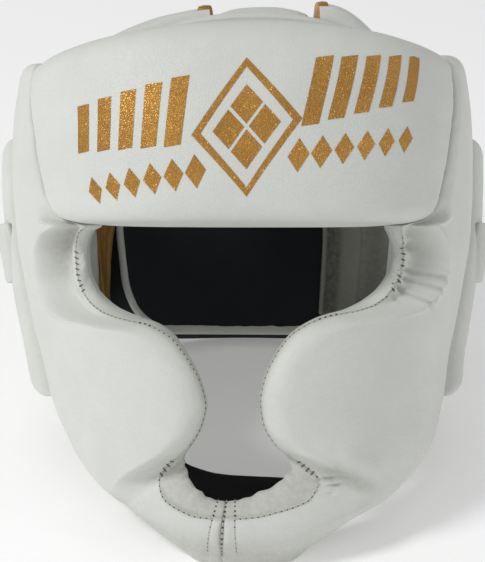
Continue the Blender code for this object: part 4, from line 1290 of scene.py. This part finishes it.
def strapDepth(angle, layer):
    behind = wing["thickness"] + 2 * guard["lapGap"]
    stand = earStand(np.minimum(angle, ear["rearAngle"])) + guard["lapGap"]
    past = smooth((angle - ear["rearAngle"]) / 8)
    lower = (strap["thickness"] + guard["lapGap"]) * layer
    fromFront = (angle - strap["startAngle"] + 0.4) * math.radians(guard["halfWidth"])
    rounded = sink(fromFront, *ear["edge"][:2])
    return -(stand + (behind - stand) * past + strap["thickness"] + lower) + rounded


def makeStrap(side, name, layer):
    end = 180 + strap["overlapAngle"]
    angles = np.linspace(strap["startAngle"], end, int(150 * detail))
    lifted = layer * smooth((angles - (180 - strap["overlapAngle"] - 8) + 8) / 8)
    thick = strap["thickness"] + strap["padding"] * smooth((114 - angles) / 12)
    depth = strapDepth(np.minimum(angles, 360 - angles), lifted) - thick + strap["thickness"]
    narrow = 0.18 * (strap["top"] - strap["bottom"]) * smooth((angles - end + 6) / 6)
    low, high = strap["bottom"] + narrow, strap["top"] - narrow
    rings = bandRings(angles, low, high, depth, thick, side, 24)
    wave = 0.00035 * noise(rings, 0.018, 61 + side)
    rings = rings + wave[..., None] * unit(rings - shellCentre)
    stripPiece("strap_" + name, rings, materials["white"], "closure_strap_" + name, shade=0.12)

    def surface(a, b):
        return onShell(side * a, b, np.interp(a, angles, depth) - 0.0001)

    for label, place in (("low", 0.09), ("high", 0.91)):
        def path(t, place=place):
            a = angles[0] + 12 + t * (angles[-1] - angles[0] - 14)
            return a, np.interp(a, angles, low) + np.interp(a, angles, high - low) * place
        stitchRow("strap_" + name + "_" + label, surface, path)
    def endPath(t):
        at = angles[-1] - 1.6
        bottom, top = np.interp(at, angles, low), np.interp(at, angles, high)
        return at + 0 * t, bottom + (top - bottom) * (0.12 + 0.76 * t)
    stitchRow("strap_" + name + "_end", surface, endPath)


makeStrap(1, "right", 0)
makeStrap(-1, "left", 1)
print("straps made")


# Crown: the strap over the middle and the two panels beside it

crown = {
    "rise": 0.0135,
    "thickness": 0.011,
    "width": 0.049,
    "shift": 0.0112,
    "lapHeight": 0.238,
    "roundness": 2.05,
    "panelLength": 0.094,
    "panelCrown": 0.004,
    "frontAngle": 61.0,
    "rearAngle": 90.0,
    "foldRise": 0.008,
    "foldWidth": 0.044,
    "edge": (0.003, 0.005, 0.0, 0.0005),
    "tapeWidth": 0.0048,
    "tapeThickness": 0.0013,
    "fill": 0.6,
}
crownTop = guard["height"] + crown["rise"]


def quarter(turned):
    t = np.radians(np.clip(turned, 0, 90))
    power = 2 / crown["roundness"]
    return np.maximum(np.cos(t), 0) ** power, np.sin(t) ** power


farEdge = crown["width"] / 2 + crown["shift"]
crownFront = onShell(
    math.degrees(farEdge / (guard["frontReach"] - forehead["thickness"])), crown["lapHeight"],
    forehead["thickness"] + 2 * guard["lapGap"],
)
crownBack = onShell(180.0, back["top"] + guard["seamGap"], 0.0)


def centreLine(s):
    outFront, upFront = quarter(180 * s)
    outBack, upBack = quarter(180 * (1 - s))
    early = s < 0.5
    y = np.where(early, crownFront[1] * outFront, crownBack[1] * outBack)
    frontZ = crownFront[2] + (crownTop - crownFront[2]) * upFront
    backZ = crownBack[2] + (crownTop - crownBack[2]) * upBack
    return joined(0, y, np.where(early, frontZ, backZ))


def centrePlace(s, v, depth):
    line = centreLine(s)
    ahead = centreLine(np.minimum(s + 0.004, 1)) - centreLine(np.maximum(s - 0.004, 0))
    normal = unit(joined(0, -ahead[..., 2], ahead[..., 1]))
    x = crown["shift"] + (v - 0.5) * crown["width"]
    fall = depth + 0.0035 * (2 * v - 1) ** 2
    level = joined(x, line[..., 1], line[..., 2])
    return level - normal * np.broadcast_to(fall, level.shape[:-1])[..., None]


def crownRelief(seed):
    def relief(s, v, d, width, points):
        soft = 0.0006 * noise(points, 0.024, seed) + 0.00025 * noise(points, 0.011, seed + 1)
        near = np.minimum(d, width - d)
        groove = 0.0004 * bump(near - 0.0042, 0.0009)
        return soft + groove + 0.0003 * noise(points, 0.0045, seed + 2) * bump(near, 0.006)

    return relief


def makeCrownCentre():
    stations = 0.5 - 0.5 * np.cos(np.pi * even(int(130 * detail)))
    padPiece(
        "crown_centre", centrePlace, stations, crown["thickness"], crown["edge"], crown["edge"],
        0.0, materials["white"], "crown_centre_pad", columns=44, wallRows=7,
        relief=crownRelief(71),
    )


makeCrownCentre()


def panelEnd(side):
    edge = crown["width"] / 2 + side * crown["shift"] + crown["edge"][3]
    return edge + 2 * guard["lapGap"] + crown["tapeThickness"] + 0.12 * crown["thickness"]


def panelStart(v):
    angle = crown["frontAngle"] + v * (crown["rearAngle"] - crown["frontAngle"])
    return onShell(angle, crown["lapHeight"], 0.82 * cheek["thickness"] + guard["lapGap"])


def panelLine(s, start, side):
    end = panelEnd(side)
    last = np.degrees(np.arccos(np.minimum(1, (end / start[..., 0]) ** (crown["roundness"] / 2))))
    out, up = quarter(s * last)
    x = start[..., 0] * out
    z = start[..., 2] + (crownTop - start[..., 2]) * up
    if side > 0:
        lift = np.maximum(0, (x - end) / crown["foldWidth"])
        fold = np.sin(np.pi * np.minimum(1, 0.32 + 0.68 * lift)) ** 2
        z = z + np.where(lift < 1, crown["foldRise"] * fold, 0)
    return x, z


def panelPlace(s, v, depth, side):
    s, v, depth = np.broadcast_arrays(s, v, depth)
    start = panelStart(v)
    x, z = panelLine(s, start, side)
    x1, z1 = panelLine(np.minimum(s + 0.004, 1), start, side)
    x0, z0 = panelLine(np.maximum(s - 0.004, 0), start, side)
    normal = unit(joined(-(z1 - z0), 0, x1 - x0))
    normal = normal * np.where(normal[..., 2:3] < 0, -1, 1)
    y = start[..., 1] + ((v - 0.5) * crown["panelLength"] - start[..., 1]) * smooth(1.4 * s)
    fall = depth + crown["panelCrown"] * (2 * v - 1) ** 2 * smooth(2 * s)
    point = joined(x, y, z) - normal * fall[..., None]
    return point * np.array([side, 1, 1])


def makePanel(side, name):
    stations = clustered(int(120 * detail), 0.5)
    padPiece(
        "crown_" + name, lambda s, v, depth: panelPlace(s, v, depth, side), stations,
        crown["thickness"], crown["edge"], crown["edge"],
        sink(stations * 0.075, *crown["edge"][:2]), materials["white"], "crown_panel_" + name,
        columns=54, wallRows=7, relief=crownRelief(81 + side),
    )
    # The gold tape that holds the panel's inner end.
    length = float(pathLength(panelPlace(even(31), 0.5, 0.0, side)))
    v = 0.05 + 0.90 * even(int(90 * detail))
    edgeSink = sink(np.minimum(v, 1 - v) * crown["panelLength"], *crown["edge"][:2])
    endPoint = panelPlace(1.0, v, 0.0, side)
    onward = unit(endPoint - panelPlace(1 - 0.0024 / length, v, 0.0, side))
    near = 1 - crown["tapeWidth"] / length
    tape = crown["tapeThickness"]
    rings = []
    for turned in np.radians(np.linspace(-90, 90, 15)):
        # Round the end, from the top face to the underside.
        middle = (edgeSink + crown["thickness"]) / 2
        half = (crown["thickness"] - edgeSink) / 2 + tape
        out = tape * 1.2 * math.cos(turned) ** 0.6 if abs(turned) < 1.57 else 0
        level = middle + half * math.sin(turned)
        rings.append(panelPlace(1.0, v, level, side) + onward * out)
    low = panelPlace(near, v, crown["thickness"] + tape, side)
    high = panelPlace(near, v, edgeSink - tape, side)
    lowIn = panelPlace(near - 0.001 / length, v, crown["thickness"] - 0.0005, side)
    highIn = panelPlace(near - 0.001 / length, v, edgeSink + 0.0005, side)
    halfTop = panelPlace((near + 1) / 2, v, edgeSink - tape * 1.25, side)
    rings = np.stack([*rings, low, lowIn, highIn, high, halfTop], axis=1)
    ripple = 0.00018 * noise(rings, 0.005, 95)
    rings = rings + ripple[..., None]
    stripPiece("crown_tape_" + name, rings, materials["goldTape"], "crown_binding_" + name)


for side, name in ((-1, "left"), (1, "right")):
    makePanel(side, name)
print("crown made")


# Chin strap: a whole loop between the ear panels

chinStrap = {
    "width": 0.025,
    "endWidth": 0.022,
    "thickness": 0.0025,
    "clearance": 0.0020,
    "cupTilt": 32.0,
    "out": (0, .09, .175, .285, .398, .48, .53, .568, .618),
    "ahead": (.573, .571, .56, .512, .413, .302, .198, .104, .016),
    "height": (.103, .104, .106, .118, .164, .222, .266, .309, .35),
    "dip": (0, .004, .010, .014, .010, .004, 0, 0, 0),
    "anchors": ((97.0, 0.398), (99.5, 0.445)),
}


def chinStrapLine(side, count):
    out, ahead, height = (np.array(chinStrap[k]) for k in ("out", "ahead", "height"))
    height = height - side * np.array(chinStrap["dip"]) / 2 - np.array(chinStrap["dip"]) / 4
    x = guard["halfWidth"] * (side * out + shell["aside"](height))
    points = list(joined(x, -ahead * guard["frontReach"], height * guard["height"]))
    for angle, share in chinStrap["anchors"]:
        depth = ear["thickness"] - earStand(angle) + chinStrap["clearance"]
        points.append(onShell(side * angle, share * guard["height"], depth))
    points = np.array(points)
    keys = even(len(points))
    at = even(count)
    line = np.stack([curve(keys, points[:, k])(at) for k in range(3)], axis=1)
    tilt = math.radians(chinStrap["cupTilt"])
    cupUp = np.array([0, math.sin(tilt), math.cos(tilt)])
    endUp = np.array([0.24 * side, -0.86, 0.45])
    share = smooth(1.1 * at)[:, None]
    return line, unit(cupUp * (1 - share) + endUp * share)


def makeChinStrap():
    count = int(90 * detail)
    right, rightUp = chinStrapLine(1, count)
    left, leftUp = chinStrapLine(-1, count)
    line = np.concatenate([left[:0:-1], right])
    up = np.concatenate([leftUp[:0:-1], rightUp])
    ahead = unit(np.gradient(line, axis=0))
    outward = unit(np.cross(ahead, up))
    across = unit(np.cross(outward, ahead))
    share = smooth(1.6 * np.abs(np.linspace(-1, 1, len(line))))
    half = (chinStrap["width"] + (chinStrap["endWidth"] - chinStrap["width"]) * share) / 2
    t = np.linspace(-1, 1, 17)
    lip = 1 - 0.75 * np.abs(t) ** 10
    thick = chinStrap["thickness"] / 2
    rings = []
    for sign, order in ((1, 1), (-1, -1)):
        for place, edge in zip(t[::order], lip[::order]):
            curl = share * (place * half) ** 2 / guard["halfWidth"]
            rib = 0.00016 * np.cos(place * 40)
            lift = sign * (thick * edge + rib) - curl
            rings.append(line + across * (half * place)[:, None] + outward * lift[:, None])
    stripPiece("chin_webbing", np.stack(rings, axis=1), materials["webbing"], "chin_strap")


makeChinStrap()
print("chin strap made")


# Stitches

def cheekSurface(side, inset):
    # The outer face at a distance from the face edge, with stations along the pad.
    def surface(at, extra):
        width = pathLength(cheekPlace(at[..., None], even(11), 0.0, side))
        v = 1 - (inset + extra) / width
        return cheekPlace(at, v, cheekDepth(at, v, width, side), side)

    return surface


def cheekDepth(at, v, width, side):
    # Depth of the outer face with its relief.
    low, high = cheekEdges(at)
    depth = sink((1 - v) * width, *high[:3]) + sink(v * width, *low[:3], low[4])
    points = cheekPlace(at, v, depth, side)
    return depth + cheekRelief(side)(at, v, v * width, width, points)


def stitchCheek(side, name):
    def run(start, end):
        return lambda t: (start + (end - start) * t, 0 * t)

    stitchRow("eye_" + name, cheekSurface(side, 0.0009), run(0.316, 0.545), cross=(0.22, 0.62))
    stitchRow("lobe_" + name, cheekSurface(side, cheek["stitchInset"]), run(0.545, 0.815))
    stitchRow("mouth_" + name, cheekSurface(side, 0.0008), run(0.845, 0.990), cross=(0.0, 0.22))

    def seamSurface(offset):
        def surface(v, extra):
            low, high = cheekEdges(np.full(np.shape(v), 0.99))
            at = 1 - (offset + extra) / 0.33
            width = pathLength(cheekPlace(at[..., None], even(9), 0.0, side))
            face = np.clip(v, 0, 1)
            depth = cheekDepth(at, face, width, side)
            past = np.abs(v - face)
            inner = cheekRow["thickness"](at) * cheek["thickness"]
            lip = np.where(v > 0.5, high[3], low[3]) * np.sin(np.pi * past) / width
            spread = face + np.sign(v - face) * lip
            return cheekPlace(at, spread, depth + (inner - depth) * past, side)

        return surface

    def overBar(t):
        return -0.30 + 1.75 * t, 0 * t

    stitchRow("chin_seam_" + name, seamSurface(0.0034), overBar)
    if side > 0:
        stitchRow("chin_middle", seamSurface(0.0002), overBar)


for side, name in ((-1, "left"), (1, "right")):
    stitchCheek(side, name)
print("stitches made")


# Gold foil on the forehead: bars beside a lozenge, and a row of small lozenges below

foil = {"lift": 0.00016, "rise": 0.15, "step": 0.0016}


def foreheadSpotAt(across, up):
    # Angle's place and height's share for a distance from the middle and above the brow.
    middle = pathTable(across)
    height = up / (foreheadTop(2 * middle - 1) - forehead["bottom"])
    return middle, height


arcPoints = np.linalg.norm(np.diff(foreheadPlace(even(400), 0.5, 0.0), axis=0), axis=1)
arcAlong = np.concatenate([[0], np.cumsum(arcPoints)])
arcAlong = arcAlong - np.interp(0.5, even(400), arcAlong)


def pathTable(across):
    return np.interp(across, arcAlong, even(400))


def foilShape(corners):
    # A filled shape from its corners, cut into small triangles that follow the pad.
    body = bmesh.new()
    rim = [body.verts.new((x, y, 0)) for x, y in corners]
    body.faces.new(rim)
    for axis in (0, 1):
        low = min(c[axis] for c in corners)
        high = max(c[axis] for c in corners)
        count = int((high - low) / foil["step"])
        for k in range(1, count + 1):
            place, normal = [0, 0, 0], [0, 0, 0]
            place[axis], normal[axis] = low + (high - low) * k / (count + 1), 1
            bmesh.ops.bisect_plane(
                body, geom=body.verts[:] + body.edges[:] + body.faces[:],
                plane_co=place, plane_no=normal,
            )
    bmesh.ops.triangulate(body, faces=body.faces)
    body.verts.index_update()
    points = np.array([v.co[:2] for v in body.verts])
    faces = [tuple(v.index for v in face.verts) for face in body.faces]
    body.free()
    return points, faces


def ringShapes(corners, width):
    # A band inside a convex outline, as one shape for each side.
    corners = np.array(corners, float)
    middle = corners.mean(axis=0)
    shapes = []
    inner = []
    for corner in corners:
        away = middle - corner
        inner.append(corner + away / np.linalg.norm(away) * width)
    for k in range(len(corners)):
        n = (k + 1) % len(corners)
        shapes.append([corners[k], corners[n], inner[n], inner[k]])
    return shapes


def lozenge(x, y, halfWide, halfHigh):
    return [(x - halfWide, y), (x, y - halfHigh), (x + halfWide, y), (x, y + halfHigh)]


def foilDesign():
    shapes = []
    # The lozenge in the middle, with four small ones inside its band.
    shapes += ringShapes(lozenge(0.002, 0.047, 0.0275, 0.0345), 0.0046)
    for dx, dy in ((0, 0.0112), (0, -0.0112), (0.0090, 0), (-0.0090, 0)):
        shapes.append(lozenge(0.002 + dx, 0.047 + dy, 0.0079, 0.0098))
    # Slanted bars on both sides, which get shorter away from the middle.
    for side in (-1, 1):
        for k in range(5):
            x = 0.002 + side * (0.0345 + 0.0128 * k)
            wide = 0.0088 - 0.0004 * k
            high = 0.0335 - 0.0026 * k
            middle = 0.0600
            lean = 0.18
            bar = []
            for dx, dy in ((-1, -1), (1, -1), (1, 1), (-1, 1)):
                bar.append((x + dx * wide / 2 + dy * high / 2 * lean, middle + dy * high / 2))
            shapes.append(bar)
        for k in range(6):
            x = 0.002 + side * (0.0265 + 0.0118 * k)
            size = 0.0056 - 0.00022 * k
            shapes.append(lozenge(x, 0.0290, size, size * 1.5))
    return shapes


def makeFoil():
    everyPoint, everyFace, count = [], [], 0
    for corners in foilDesign():
        points, faces = foilShape(corners)
        across, up = points[:, 0], points[:, 1] + points[:, 0] * foil["rise"]
        s, v = foreheadSpotAt(across, up)
        depth = foreheadDepth(s, v)
        base = foreheadPlace(s, v, depth)
        wide = foreheadWidth(s)
        relief = foreheadRelief(s, v, v * wide, wide, base)
        everyPoint.append(foreheadPlace(s, v, depth + relief - foil["lift"]))
        everyFace += [tuple(count + k for k in face) for face in faces]
        count += len(points)
    makeObject("forehead_foil", np.concatenate(everyPoint), everyFace, materials["foil"])


makeFoil()
print("foil made")


# Floor, lights and camera

stage = {
    "floor": (0.94, 0.94, 0.94),
    "floorGlow": 0.20,
    "sky": 0.40,
    "distance": 1.4,
    "eyeHeight": 0.139,
    "lens": 166.07,
}


def makeStage():
    mesh = bpy.data.meshes.new("floor")
    mesh.from_pydata([(-9, -9, 0), (9, -9, 0), (9, 9, 0), (-9, 9, 0)], [], [(0, 1, 2, 3)])
    mesh.materials.append(newMaterial(
        "floor", stage["floor"], 0.9, Emission_Color=(1, 1, 1, 1),
        Emission_Strength=stage["floorGlow"])[0])
    floor = bpy.data.objects.new("floor", mesh)
    bpy.context.scene.collection.objects.link(floor)
    world = bpy.data.worlds.new("studio")
    world.use_nodes = True
    world.node_tree.nodes["Background"].inputs["Color"].default_value = (1, 1, 1, 1)
    world.node_tree.nodes["Background"].inputs["Strength"].default_value = stage["sky"]
    bpy.context.scene.world = world
    # Plain colours, so that white leather stays white on the pale floor.
    bpy.context.scene.view_settings.view_transform = "Standard"


def addLight(name, place, target, size, power):
    light = bpy.data.lights.new(name, "AREA")
    light.shape, light.size, light.energy = "DISK", size, power
    lamp = bpy.data.objects.new(name, light)
    lamp.location = place
    toward = np.array(target, float) - np.array(place, float)
    lamp.rotation_euler = Vector(toward).to_track_quat("-Z", "Y").to_euler()
    bpy.context.scene.collection.objects.link(lamp)


def makeCamera():
    camera = bpy.data.cameras.new("camera")
    camera.lens, camera.sensor_width = stage["lens"], 36
    holder = bpy.data.objects.new("camera", camera)
    upright = Matrix.Translation((0, -stage["distance"], stage["eyeHeight"]))
    upright = upright @ Matrix.Rotation(math.radians(90), 4, "X")
    lean = Matrix.Rotation(math.radians(-rest["lean"]), 4, "X")
    holder.matrix_world = Matrix.Translation(restShift.tolist()) @ lean @ upright
    bpy.context.scene.collection.objects.link(holder)
    bpy.context.scene.camera = holder


makeStage()
addLight("key", (-1.5, -0.7, 1.75), (0, 0, 0.12), 0.7, 25)
addLight("fill", (1.9, -0.5, 1.0), (0, 0, 0.12), 1.4, 5)
makeCamera()
print("stage made")
